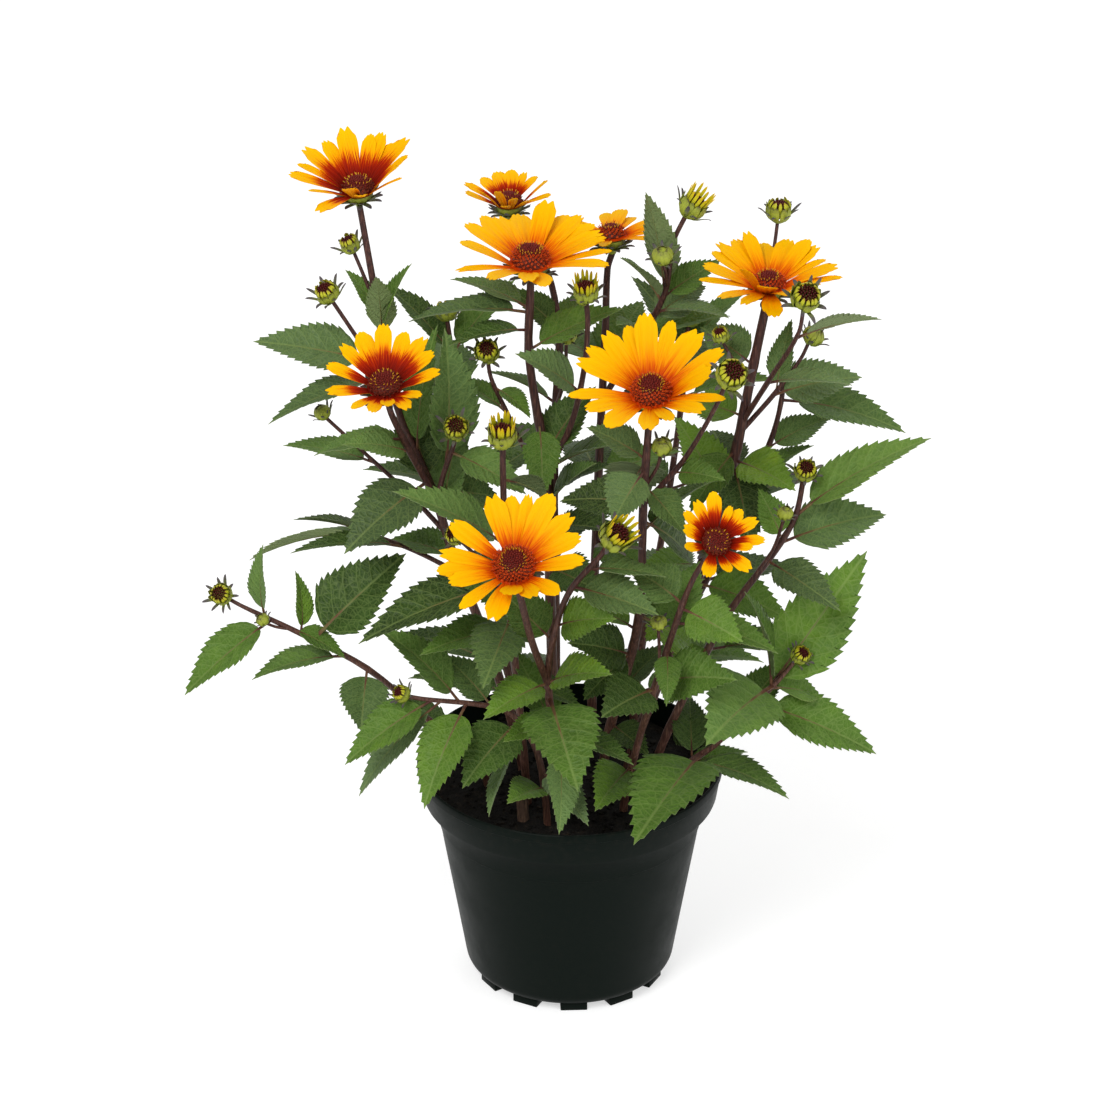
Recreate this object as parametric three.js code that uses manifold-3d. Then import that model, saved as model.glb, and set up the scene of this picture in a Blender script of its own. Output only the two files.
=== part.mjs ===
// A false sunflower in its nursery pot. The thin plastic pot is filled with soil, the shoots stand in
// the soil, and each shoot carries its branches, toothed leaves, buds and daisy heads.
// Millimetres, +Z up, and the front faces -Y. Every point below is measured from the ground under the
// middle of the pot. The finished group is moved, so its origin is under the middle of the whole plant.
import * as THREE from "three";
import { mergeVertices } from "three/addons/utils/BufferGeometryUtils.js";
import Module from "manifold-3d";

const wasm = await Module();
wasm.setup();

// How far the middle of the pot is to the right of the middle of the whole plant
const POT_OFFSET = 7;

// Pot
const POT_HEIGHT = 132;
const RIM_RADIUS = 85;
const COLLAR_HEIGHT = 20;
const COLLAR_FOOT_RADIUS = 82;
const WALL_TOP_RADIUS = 75.5;
const WALL_FOOT_RADIUS = 59;
const WALL_THICKNESS = 1.6;
const LEDGE_DROP = 1.5;
const LEDGE_RISE = 2;
const BASE_CORNER = 8;
const BASE_CORNER_ARC = 84;
const BASE_THICKNESS = 2;
const FOOT_HEIGHT = 4;
const FOOT_COUNT = 12;
const FOOT_WIDTH = 15;
const FOOT_DEPTH = 8;
const FOOT_OUTER_RADIUS = 54.5;
const FOOT_ROOT = 0.8;
const FOOT_TURN = 2.4;
const DRAIN_WIDTH = 8;
const DRAIN_LENGTH = 7;
const DRAIN_RADIUS = 42;
const POT_SIDES = 24;

// Soil
const SOIL_LEVEL = 118;
const SOIL_ROUGHNESS = 2.2;
const SOIL_SIDES = 20;
const SOIL_SLACK = 0.6;
const SOIL_EDGE_DROP = 1.5;
const SOIL_RINGS = [0.8, 0.56, 0.3];
const SOIL_MIDDLE = 0.08;
const ROOT_DEPTH = 34;
const STUB_ROOT = [-24, -44];
const STUB_HEIGHT = 24;
const STUB_RADIUS = 3.4;
const STUB_LEAN = 3;

// Gap between neighbouring pieces
const GAP = 0.3;

// Stems
const STEM_SIDES = 5;
const BRANCH_SIDES = 5;

// Leaves. Long ones have four teeth an edge, short ones two, and the rest three
const PETIOLE_SHARE = 0.13;
const PETIOLE_HALF_WIDTH = 1.1;
const PETIOLE_ROOT = 0.8;
const MIDRIB_THICKNESS = 1.5;
const MIDRIB_THINNING = 0.5;
const TOOTH_FORWARD = 0.22;
const TOOTH_OUT = 1.06;
const TOOTH_LENGTH = 1;
const NOTCH_IN = 0.84;
const LEAF_FLUTTER = 0.05;
const LEAF_ARCH = 0.06;
const LEAF_FOLD = 20;
const LONG_LEAF = 92;
const SHORT_LEAF = 66;

// Buds. A ring's radii and heights are shares of the bud's radius, and take turns round the ring
const BUD_UPTURN = 0.6;
const BUD_FOOT = { radii: [0.3], heights: [-0.95] };
const BUD_BELLY = { radii: [0.95], heights: [-0.35] };
const BUD_BRACTS = { radii: [1.6, 0.95], heights: [0.3, 0.1] };
const BUD_TIP = 0.8;
const BUD_MOUTH = 0.8;
const EYED_TOP = 0.6;
const RAYED_TOP = 1.25;
const BUD_HOLLOW = 0.5;

// Green cups. Widths are shares of the disc's radius, and heights shares of the cup's depth
const CALYX_DEPTH = 10;
const CALYX_FOOT_RADIUS = 2.1;
const CALYX_BELLY = { width: 0.6, height: -0.62 };
const CALYX_BRACT_LENGTH = 5;
const CALYX_BRACT = { width: 0.95, heights: [-0.44, -0.34] };
const CALYX_TOP = 0.85;

// Flower heads
const PLATE_HALF = 0.7;
const PLATE_MARGIN = 0.8;
const RAY_THICKNESS = 1;
const RAY_DROOP = 0.1;
const RAY_LIFT = 1.2;
const RAY_TWIST = 0.15;
const RAY_ROOT_DEPTH = 0.6;
const RAY_ROOT_SHARE = 0.3;
const RAY_WIDEST = 0.68;
const RAY_TIP_SHARE = 0.5;
const RAY_NOTCH = 0.93;
const DISC_SIDES = 12;
const DISC_FOOT = 0.72;
const DISC_EDGE_RISE = 1.3;
const DISC_ROWS = { edge: 1, shoulder: 0.98, crown: 0.62 };
const DISC_RISES = { shoulder: 0.5, crown: 0.92 };
const FLORET_IN = 0.88;
const FLORET_STEP = 0.5;

// The heads. at is the middle of the rays' plate, tilt leans the face towards the front, turn to the
// right. A ray is the way it points, turning left from the right, its reach, its rise and its width.
const HEADS = {
  bloom_upper_left: {
    at: [-111, 16, 465], tilt: 10, turn: -3, disc: [8, 7],
    rays: [
      [15, 29, 43, 5], [39, 36, 39, 8], [50, 30, 38, 7], [64, 33, 39, 7], [75, 31, 41, 7], [102, 35, 46, 9],
      [124, 32, 41, 7], [149, 34, 40, 8], [167, 31, 38, 5], [184, 33, 31, 7],
      [223, 31, 37, 5], [238, 32, 21, 7], [266, 31, 48, 7], [278, 31, 39, 6], [324, 31, 43, 5],
      [333, 31, 54, 5],
    ],
  },
  bloom_back_left: {
    at: [-33, 85, 429], tilt: 4, turn: -2, disc: [7, 6],
    rays: [
      [56, 22, 25, 5], [69, 22, 26, 5], [86, 23, 28, 8], [106, 23, 27, 8], [127, 22, 25, 7],
      [160, 23, 30, 6], [200, 24, 40, 7], [221, 24, 52, 5], [255, 25, 57, 5],
      [265, 24, 36, 5], [279, 25, 47, 5], [304, 24, 40, 5], [334, 24, 35, 6], [353, 23, 49, 5],
    ],
  },
  bloom_top: {
    at: [-21, 1, 430], tilt: 8, turn: 0, disc: [10, 10],
    rays: [
      [1, 37, 33, 6], [21, 35, 24, 8], [37, 36, 24, 8], [49, 37, 24, 8], [63, 36, 21, 9], [77, 38, 33, 10],
      [98, 36, 17, 10], [114, 35, 18, 9], [130, 36, 24, 9], [150, 36, 27, 8], [189, 36, 38, 9],
      [211, 39, 22, 5], [240, 38, 29, 8], [268, 38, 31, 9], [281, 38, 27, 9],
      [337, 39, 22, 7], [353, 38, 25, 5],
    ],
  },
  bloom_back: {
    at: [22, 55, 422], tilt: -4, turn: -4, disc: [7.5, 7],
    rays: [
      [15, 27, 16, 7], [39, 27, 10, 6], [66, 27, 9, 6], [79, 28, 17, 8], [95, 27, 15, 7],
      [130, 27, 10, 7], [158, 27, 12, 7], [188, 27, 16, 7], [218, 28, 22, 6], [243, 28, 29, 6],
      [262, 28, 21, 6], [320, 29, 14, 7], [339, 28, 19, 6], [354, 27, 22, 6],
    ],
  },
  bloom_right: {
    at: [104, 6, 415], tilt: 10, turn: 0, disc: [8.5, 7],
    rays: [
      [27, 29, 22, 5], [40, 32, 26, 7], [50, 33, 30, 8], [71, 32, 20, 9], [91, 31, 13, 9], [107, 34, 28, 7],
      [119, 32, 24, 8], [135, 33, 26, 7], [150, 31, 28, 8], [181, 33, 33, 9], [195, 35, 26, 5],
      [225, 34, 25, 6], [234, 35, 60, 7], [248, 35, 28, 7], [264, 35, 47, 9], [270, 35, 19, 9],
      [284, 34, 39, 7], [316, 34, 37, 7], [348, 35, 25, 5], [359, 34, 32, 8],
    ],
  },
  bloom_left: {
    at: [-96, -48, 382], tilt: 24, turn: -2, disc: [8.5, 6],
    rays: [
      [26, 26, 35, 8], [48, 28, 30, 8], [68, 27, 29, 8], [93, 30, 34, 8], [115, 29, 28, 9],
      [138, 27, 30, 7], [167, 27, 30, 7], [203, 28, 30, 7], [239, 28, 37, 5], [258, 26, 36, 7],
      [277, 27, 45, 7], [299, 28, 36, 7], [315, 27, 42, 6], [356, 27, 36, 7],
    ],
  },
  bloom_centre: {
    at: [41, -68, 387], tilt: 25, turn: 0, disc: [10, 9],
    rays: [
      [26, 38, 28, 8], [52, 37, 28, 11], [73, 37, 30, 7], [94, 39, 30, 10], [107, 34, 27, 8],
      [129, 35, 29, 9], [146, 35, 29, 8], [162, 36, 29, 8], [191, 38, 23, 6], [212, 37, 30, 7],
      [233, 36, 30, 9], [267, 36, 36, 9], [284, 36, 43, 7], [314, 36, 38, 8], [340, 36, 29, 5],
      [356, 33, 49, 11],
    ],
  },
  bloom_front: {
    at: [-29, -112, 310], tilt: 34, turn: -3, disc: [10.5, 8],
    rays: [
      [19, 31, 28, 9], [39, 33, 24, 9], [61, 36, 25, 10], [77, 32, 24, 6], [91, 31, 22, 8],
      [107, 33, 25, 10], [147, 33, 24, 9], [174, 32, 25, 7], [188, 33, 23, 8], [204, 31, 31, 8],
      [226, 33, 25, 6], [254, 33, 28, 10], [270, 32, 56, 10], [290, 32, 49, 9], [314, 31, 38, 8],
      [353, 32, 30, 8],
    ],
  },
  bloom_lower_right: {
    at: [75, -93, 314], tilt: 47, turn: 8, disc: [7, 4.5],
    rays: [
      [2, 21, 29, 6], [30, 20, 31, 7], [51, 17, 34, 7], [70, 16, 40, 5], [95, 22, 29, 8], [121, 20, 32, 7],
      [145, 20, 35, 6], [167, 19, 47, 8], [201, 20, 49, 6], [253, 20, 37, 8], [283, 20, 49, 6],
      [313, 20, 32, 8], [343, 18, 50, 5],
    ],
  },
};

// The shoots. An axis has a route of points that climb, the radius at its two ends, and what it ends in:
// a head, or a bud at a point with its radius, how far it is open (0 shut, 1 eyed, 2 rays showing), and
// how far it turns to the right and to the front.
// A leaf is the height where it leaves its axis, its tip, its width, and its roll about its own length.
const SHOOTS = {
  shoot_left: [
    {
      route: [[-24, 10, 84], [-27, 9, 125], [-44, 0, 200], [-62, -6, 258], [-73, -11, 301], [-93, 0, 351],
        [-103, 8, 411], [-109, 17, 446]],
      radii: [3, 1.7],
      head: "bloom_upper_left",
      leaves: [
        [387, -83, 0, 430, 15, 30], [396, -119, 22, 417, 13, 0], [318, -128, 34, 303, 27, 10],
        [308, -120, -45, 282, 34, -20], [302, -38, 10, 288, 26, 40], [306, -89, 14, 350, 26, -20],
        [260, -98, 8, 264, 26, 0], [190, -98, 36, 190, 28, 0],
      ],
    },
    {
      route: [[-73, -11, 301], [-84, -27, 333], [-93, -42, 362]],
      radii: [2.2, 1.7],
      head: "bloom_left",
      leaves: [[333, -119, -52, 350, 18, -40], [344, -136, -20, 328, 20, -10]],
    },
    {
      route: [[-71, -12, 299], [-67, -20, 318], [-61, -34, 342]],
      radii: [1.6, 1.2],
      bud: [-60, -37, 352, 6.4, 1, 0, 1.3],
      leaves: [[322, -66, -6, 396, 34, 40], [335, -23, -44, 317, 24, 20]],
    },
    { route: [[-103, 8, 404], [-110, 14, 420]], radii: [1.2, 1],
      bud: [-116, 18, 433, 5.2, 1, -0.2, 0.6], leaves: [] },
    {
      route: [[-92, 0, 350], [-106, 4, 374], [-118, 5, 394]],
      radii: [1.5, 1.1],
      bud: [-128, 5, 411, 6, 1, -0.1, 0.7],
      leaves: [[372, -168, 5, 383, 29, -30], [363, -160, -15, 344, 22, 0]],
    },
    {
      route: [[-66, -8, 275], [-86, -6, 298], [-108, -4, 320]],
      radii: [1.5, 1],
      bud: [-132, 0, 344, 4.5, 0, 0, 0.3],
      leaves: [[316, -154, 5, 322, 18, -10]],
    },
    {
      route: [[-60, -5, 250], [-84, -2, 262], [-112, 2, 272]],
      radii: [1.5, 0.9],
      leaves: [[271, -176, 22, 244, 26, 20], [264, -150, -24, 272, 18, 0]],
    },
  ],
  shoot_low_left: [
    {
      route: [[-44, -6, 84], [-47, -6, 126], [-56, -8, 142], [-74, -10, 158], [-110, -25, 202],
        [-150, -30, 229], [-176, -30, 243]],
      radii: [2.6, 1.1],
      bud: [-187, -30, 250, 5.6, 1, 0.4, 1.5],
      leaves: [
        [222, -88, -10, 265, 38, 30], [237, -164, -27, 279, 16, -50], [235, -207, -55, 202, 28, -10],
        [211, -171, -50, 209, 22, 0], [226, -148, -15, 257, 14, 40], [202, -113, -46, 174, 26, -10],
        [229, -121, -34, 213, 16, 10], [150, -112, 26, 152, 26, 0],
      ],
    },
    { route: [[-150, -30, 229], [-158, -33, 232]], radii: [0.9, 0.8], bud: [-165, -36, 238, 3.6, 0, 0, 0.2],
      leaves: [] },
  ],
  shoot_rim_left: [
    {
      route: [[-12, -48, 84], [-13, -48, 128], [-18, -46, 162], [-30, -46, 184], [-45, -50, 193],
        [-78, -57, 201]],
      radii: [2.3, 1.1],
      bud: [-90, -60, 206, 4.5, 1, 0, 0.5],
      leaves: [
        [200, -121, -74, 170, 26, -20], [199, -115, -55, 139, 20, -30], [196, -78, -97, 156, 28, 0],
        [181, -58, -82, 160, 30, -20], [192, -70, -34, 216, 22, -20], [150, 10, -84, 138, 20, 0],
        [140, -34, -84, 152, 22, -10], [197, -103, -50, 241, 26, -20],
      ],
    },
  ],
  shoot_top: [
    {
      route: [[-6, 2, 84], [-9, 6, 160], [-11, 2, 240], [-12, 0, 310], [-18, 0, 346], [-22, 0, 380],
        [-21, 0, 414]],
      radii: [3.1, 2],
      head: "bloom_top",
      leaves: [
        [402, -86, 10, 392, 26, 0], [392, -64, -14, 389, 18, 0], [404, -64, 30, 408, 18, 0],
        [338, -15, -32, 307, 20, 0], [380, 28, 12, 399, 24, 10],
        [275, 26, -16, 280, 26, 0], [250, 17, -24, 248, 26, 30], [226, -42, -22, 218, 27, -30],
        [290, 14, -8, 318, 24, 10], [318, 14, 16, 352, 24, 20],
      ],
    },
    { route: [[-12, 0, 300], [-24, -1, 322], [-36, -2, 350], [-42, -4, 366]], radii: [1.5, 1.1],
      bud: [-44, -6, 382, 6.2, 1, 0.1, 1.3],
      leaves: [[345, -64, 4, 362, 18, 0], [360, -21, -14, 347, 16, 0]] },
    { route: [[-12, 0, 310], [0, -5, 338], [7, -9, 372], [9, -10, 400]], radii: [1.8, 1.4],
      bud: [8, -10, 418, 6.8, 2, 0, 0.5], leaves: [[359, -29, -30, 392, 24, -40]] },
  ],
  shoot_back_left: [
    {
      route: [[-8, 26, 84], [-8, 27, 200], [-9, 25, 297], [-8, 30, 332], [-6, 36, 372], [-12, 52, 402],
        [-28, 78, 418]],
      radii: [2.8, 1.5],
      head: "bloom_back_left",
      leaves: [
        [375, -34, 36, 400, 18, -40], [368, 8, 68, 384, 20, 10], [300, -46, 62, 306, 28, 0],
        [300, 30, 6, 322, 26, 0], [235, -30, 86, 228, 28, 0],
        [249, -42, 14, 274, 28, -40],
      ],
    },
    { route: [[-8, 30, 332], [-3, 18, 356]], radii: [1.3, 1], bud: [-2, 11, 384, 5, 1, 0, 0.6], leaves: [] },
  ],
  shoot_back: [
    {
      route: [[12, 34, 84], [13, 36, 200], [16, 40, 300], [19, 48, 370], [20, 53, 404]],
      radii: [2.8, 1.8],
      head: "bloom_back",
      leaves: [
        [350, 40, 84, 372, 28, 0], [350, -14, 88, 350, 28, 0],
        [285, 62, 60, 292, 28, 0], [285, 6, 98, 280, 28, 0], [248, 40, 10, 243, 26, 20],
      ],
    },
    {
      route: [[17, 43, 330], [34, 34, 366], [50, 20, 404], [54, 18, 434]],
      radii: [1.8, 1.3],
      bud: [64, 20, 454, 7.2, 2, 0.5, 0.2],
      leaves: [
        [401, 80, 32, 418, 18, 30], [392, 84, 6, 396, 18, 0], [378, 24, 6, 392, 18, 0],
        [404, 39, 8, 467, 21, 10], [386, 73, 44, 398, 22, 30], [399, 26, 10, 429, 18, 0],
      ],
    },
    { route: [[51, 19, 408], [50, 10, 420]], radii: [1, 0.9],
      bud: [48, 6, 432, 5.5, 0, 0.1, 0.3], leaves: [] },
  ],
  shoot_right: [
    {
      route: [[30, 12, 84], [34, 10, 126], [50, 6, 180], [70, 4, 245], [87, 5, 310], [96, 5, 363],
        [102, 5, 398]],
      radii: [3.4, 2.4],
      head: "bloom_right",
      leaves: [
        [320, 64, -12, 290, 24, -10], [311, 96, -22, 272, 28, 0], [300, 78, 58, 306, 26, 0],
        [250, 36, -6, 252, 26, 0], [190, 108, 22, 180, 28, 0], [369, 69, 24, 383, 24, -30],
        [339, 63, 24, 339, 24, -30], [228, 41, -6, 208, 24, -30], [239, 120, 4, 216, 28, 30],
        [313, 120, -22, 308, 26, 20], [290, 56, 34, 326, 28, 0],
      ],
    },
    { route: [[96, 5, 363], [104, 30, 395], [109, 48, 420]], radii: [1.4, 1],
      bud: [111, 52, 438, 6.6, 1, 0, 0.3],
      leaves: [] },
    { route: [[92, 5, 336], [106, -14, 372], [118, -35, 406]], radii: [1.6, 1.1],
      bud: [121, -40, 428, 7.4, 1, 0.1, 1.1],
      leaves: [[366, 148, -22, 370, 18, 0], [402, 162, -20, 407, 14, -50]] },
    { route: [[91, 5, 330], [108, 8, 350], [122, 10, 370]], radii: [1.5, 1],
      bud: [129, 10, 384, 5.5, 0, 0.5, 0.2],
      leaves: [[350, 156, 14, 358, 28, 30], [352, 118, 24, 388, 14, 0]] },
    { route: [[95, 5, 360], [86, 1, 374]], radii: [1, 0.9], bud: [79, -1, 389, 4.5, 1, 0, 0.3], leaves: [] },
    {
      route: [[54, 6, 194], [86, 16, 262], [108, 22, 316], [114, 24, 344]],
      radii: [2, 1.3],
      bud: [112, 28, 357, 3.6, 0, 0, 0],
      leaves: [
        [340, 181, 18, 323, 27, 20], [312, 142, 40, 322, 18, 30], [280, 134, 66, 274, 28, 0],
        [236, 128, 44, 226, 28, 0],
      ],
    },
  ],
  shoot_far_right: [
    {
      route: [[40, -8, 84], [45, -10, 126], [62, -18, 180], [85, -24, 235], [110, -25, 275], [120, -20, 292]],
      radii: [2.7, 1.5],
      bud: [125, -16, 317, 5.8, 1, 0, 1.3],
      leaves: [
        [292, 193, 0, 329, 30, 10], [278, 171, 2, 282, 30, 30], [280, 100, -14, 306, 18, -30],
        [268, 143, -62, 257, 23, 20], [212, 142, 4, 198, 26, 0], [218, 54, -20, 177, 25, -50],
        [157, 80, -26, 155, 18, 30],
      ],
    },
    { route: [[98, -26, 258], [108, -28, 276]], radii: [1, 0.9],
      bud: [114, -32, 300, 4.2, 0, 0, 0.3], leaves: [] },
  ],
  shoot_centre: [
    {
      route: [[16, -12, 84], [20, -16, 150], [30, -30, 200], [37, -46, 250], [38, -58, 320], [40, -67, 366]],
      radii: [2.9, 1.9],
      head: "bloom_centre",
      leaves: [
        [347, 8, -58, 363, 21, -20], [318, -6, -42, 312, 24, -30], [340, 22, -76, 316, 28, -10],
        [345, 24, -20, 290, 30, 20],
        [307, 64, -18, 264, 34, 50], [218, 7, -46, 194, 24, -30], [245, 67, -22, 211, 30, 50],
        [330, 60, -74, 308, 20, 10], [300, 78, -28, 318, 22, -20], [235, 0, -30, 246, 22, 0],
        [240, 72, -34, 262, 24, 0], [216, -2, -60, 237, 25, -50], [164, 43, -44, 158, 18, 20],
      ],
    },
    { route: [[38, -58, 318], [58, -62, 345], [74, -76, 383]], radii: [1.6, 1.2],
      bud: [81, -87, 406, 7.8, 1, 0.2, 1],
      leaves: [[338, 80, -78, 342, 15, 40]] },
    { route: [[39, -60, 330], [45, -62, 342]], radii: [1, 0.9],
      bud: [47, -64, 355, 5.2, 0, -0.1, 0.6], leaves: [] },
  ],
  shoot_front: [
    {
      route: [[4, -34, 84], [3, -38, 126], [-6, -55, 170], [-12, -70, 218], [-8, -80, 256], [0, -85, 282],
        [15, -90, 304]],
      radii: [2.6, 1.4],
      bud: [23, -93, 317, 8, 2, 0.4, 0.8],
      leaves: [
        [296, 50, -86, 290, 15, 10], [258, 24, -102, 274, 23, 50], [284, 46, -96, 273, 28, 20],
        [218, 22, -100, 240, 24, 30], [218, -46, -102, 214, 24, -10], [208, 4, -126, 184, 40, 0],
        [168, -6, -98, 141, 20, -30], [180, 34, -84, 176, 22, 0], [187, -36, -84, 190, 18, -20],
        [248, -37, -60, 269, 24, -30],
      ],
    },
    { route: [[-12, -70, 218], [-20, -84, 250], [-25, -98, 280]], radii: [2.1, 1.9], head: "bloom_front",
      leaves: [] },
  ],
  shoot_front_left: [
    {
      route: [[-22, -24, 84], [-24, -26, 130], [-30, -42, 220], [-34, -60, 290], [-35, -70, 344]],
      radii: [2.5, 1.6],
      bud: [-35, -70, 364, 7.2, 2, 0, 0.5],
      leaves: [
        [296, -92, -82, 338, 30, -20], [270, -112, -78, 246, 34, -10], [238, -80, -72, 236, 23, -20],
        [246, -46, -102, 232, 30, 0], [338, -12, -44, 314, 18, -30], [160, -44, -78, 140, 16, 40],
        [200, 6, -58, 196, 22, 0], [261, -68, -66, 286, 25, -50],
      ],
    },
    { route: [[-33, -56, 272], [-48, -64, 290]], radii: [1.1, 0.9], bud: [-60, -70, 306, 5, 1, 0, 0.8],
      leaves: [] },
  ],
  shoot_right_front: [
    {
      route: [[28, -32, 84], [30, -35, 126], [36, -47, 165], [43, -60, 202], [54, -75, 252], [63, -87, 288]],
      radii: [2.5, 1.5],
      head: "bloom_lower_right",
      leaves: [
        [269, 90, -98, 258, 26, 40], [258, 110, -74, 238, 26, 10], [272, 30, -68, 286, 26, -20],
        [215, 88, -88, 230, 30, 40], [210, 16, -86, 206, 32, -20], [238, 50, -106, 224, 14, 0],
        [245, 69, -40, 276, 24, 0], [150, 13, -92, 152, 27, -20],
      ],
    },
    { route: [[44, -62, 206], [47, -72, 230]], radii: [1, 0.9],
      bud: [46, -80, 260, 4.2, 0, 0, 0.3], leaves: [] },
  ],
  shoot_low_right: [
    {
      route: [[46, -28, 84], [52, -31, 126], [57, -34, 140], [70, -40, 156], [80, -45, 167], [111, -50, 208]],
      radii: [2.4, 1.2],
      bud: [123, -50, 224, 4.8, 1, 0.1, 0.9],
      leaves: [
        [205, 71, -97, 195, 42, -20], [194, 166, -52, 164, 30, 30], [152, 118, -74, 149, 22, 0],
        [184, 118, -22, 206, 21, 10], [204, 136, -34, 190, 24, 20], [148, 98, -20, 147, 16, 0],
        [200, 160, -14, 269, 38, 50], [204, 92, -58, 267, 24, -30], [158, 33, -125, 151, 45, 0],
      ],
    },
  ],
  shoot_rear_left: [
    {
      route: [[-30, 34, 84], [-34, 40, 160], [-50, 62, 240], [-62, 84, 310], [-66, 92, 344]],
      radii: [2.6, 1.3],
      bud: [-68, 96, 360, 6, 1, 0, -0.4],
      leaves: [
        [150, -92, 58, 150, 28, 0], [150, -14, 94, 146, 26, 0], [205, -64, 118, 200, 30, 0],
        [262, -116, 86, 268, 30, 0], [262, -10, 108, 276, 26, 0],
        [312, -74, 146, 322, 30, 0], [312, -110, 58, 336, 26, 0], [336, -30, 118, 370, 22, 0],
        [336, -104, 108, 372, 22, 0],
      ],
    },
  ],
  shoot_rear_right: [
    {
      route: [[34, 34, 84], [38, 42, 160], [52, 66, 240], [62, 86, 310], [64, 94, 340]],
      radii: [2.6, 1.3],
      bud: [66, 98, 356, 6, 1, 0, -0.4],
      leaves: [
        [150, 94, 58, 150, 28, 0], [150, 30, 100, 146, 26, 0], [205, 68, 122, 200, 30, 0],
        [262, 122, 92, 262, 30, 0], [262, 22, 116, 258, 26, 0],
        [312, 72, 148, 322, 30, 0], [312, 114, 70, 330, 26, 0], [336, 34, 122, 370, 22, 0],
        [336, 100, 110, 368, 22, 0],
      ],
    },
  ],
};

const degrees = (angle) => (angle * Math.PI) / 180;
const vector = (point) => new THREE.Vector3(...point);

// A repeatable wobble from -1 to 1 for the leaves, the rays and the soil.
function wobble(seed, index) {
  const wave = Math.sin(seed * 12.9898 + index * 78.233) * 43758.5453;
  return 2 * (wave - Math.floor(wave)) - 1;
}

function solidFrom(points, faces) {
  const vertProperties = new Float32Array(points.flatMap((point) => [point.x, point.y, point.z]));
  const triVerts = new Uint32Array(faces.flat());
  return new wasm.Manifold(new wasm.Mesh({ numProp: 3, vertProperties, triVerts }));
}

function solidOfGeometry(geometry) {
  const bare = geometry.clone();
  bare.deleteAttribute("normal");
  bare.deleteAttribute("uv");
  const merged = mergeVertices(bare, 1e-3);
  return new wasm.Manifold(
    new wasm.Mesh({
      numProp: 3,
      vertProperties: merged.attributes.position.array,
      triVerts: new Uint32Array(merged.index.array),
    }),
  );
}

function geometryOf(solid) {
  const made = solid.getMesh();
  const geometry = new THREE.BufferGeometry();
  geometry.setAttribute("position", new THREE.BufferAttribute(made.vertProperties, 3));
  geometry.setIndex(new THREE.BufferAttribute(made.triVerts, 1));
  geometry.computeVertexNormals();
  return geometry;
}

function fused(solids) {
  return solids.slice(1).reduce((whole, next) => whole.add(next), solids[0]);
}

// A closed skin over rings that turn left about the way they go. A ring may be a single point, and it
// may have twice the points of the ring before it.
function skin(rings) {
  const faces = [];
  let start = 0;
  rings.slice(1).forEach((next, k) => {
    const count = rings[k].length;
    const nextStart = start + count;
    const here = (i) => start + (i % count);
    const there = (i) => nextStart + (i % next.length);
    for (let i = 0; i < count; i++) {
      if (next.length === 1) faces.push([here(i), here(i + 1), nextStart]);
      else if (next.length === count) {
        faces.push([here(i), here(i + 1), there(i + 1)], [here(i), there(i + 1), there(i)]);
      } else {
        faces.push(
          [here(i), there(2 * i + 1), there(2 * i)],
          [here(i), here(i + 1), there(2 * i + 1)],
          [here(i + 1), there(2 * i + 2), there(2 * i + 1)],
        );
      }
    }
    start = nextStart;
  });
  const first = rings[0].length;
  for (let i = 1; i + 1 < first; i++) faces.push([0, i + 1, i]);
  const last = rings.at(-1).length;
  for (let i = 1; i + 1 < last; i++) faces.push([start, start + i, start + i + 1]);
  return solidFrom(rings.flat(), faces);
}

// A ring of points about an axis. radii and heights take turns round the ring.
function ringAbout(frame, count, radii, heights) {
  return Array.from({ length: count }, (_, i) => {
    const angle = (2 * Math.PI * i) / count;
    const radius = radii[i % radii.length];
    return frame.at
      .clone()
      .addScaledVector(frame.right, radius * Math.cos(angle))
      .addScaledVector(frame.back, radius * Math.sin(angle))
      .addScaledVector(frame.axis, heights[i % heights.length]);
  });
}

// The frame of a head or bud: right, back and axis are at right angles, and right keeps near a hint.
function frameAt(at, axis, hint = new THREE.Vector3(1, 0, 0)) {
  const right = hint.clone().addScaledVector(axis, -axis.dot(hint)).normalize();
  return { at, axis, right, back: new THREE.Vector3().crossVectors(axis, right) };
}

function headAxis(head) {
  const tilt = degrees(head.tilt);
  const turn = degrees(head.turn);
  return new THREE.Vector3(
    Math.sin(turn),
    -Math.sin(tilt) * Math.cos(turn),
    Math.cos(tilt) * Math.cos(turn),
  );
}

const headFrame = (head) => frameAt(vector(head.at), headAxis(head));

// The rings of a tapered stem, one across each point of its route.
function stemRings(points, [startRadius, endRadius], sides) {
  const last = points.length - 1;
  let hint = new THREE.Vector3(0, 1, 0);
  return points.map((point, i) => {
    const way = points[Math.min(i + 1, last)].clone().sub(points[Math.max(i - 1, 0)]).normalize();
    const frame = frameAt(point, way, hint);
    hint = frame.right;
    const radius = startRadius + ((endRadius - startRadius) * i) / last;
    return { frame, points: ringAbout(frame, sides, [radius], [0]) };
  });
}

// Where a route reaches a height, and how thick its stem is there.
function spotAtHeight(points, [startRadius, endRadius], height) {
  const last = points.length - 1;
  const i = Math.min(last - 1, points.findLastIndex((point) => point.z <= height));
  const share = Math.min(1, (height - points[i].z) / (points[i + 1].z - points[i].z));
  return {
    base: points[i].clone().lerp(points[i + 1], share),
    stemRadius: startRadius + ((endRadius - startRadius) * (i + share)) / last,
  };
}

// Half the width of an ovate blade with a long point, as a share of its widest half.
const bladeHalfWidth = (along) => 3.02 * along ** 0.55 * (1 - along) ** 1.25;

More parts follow.
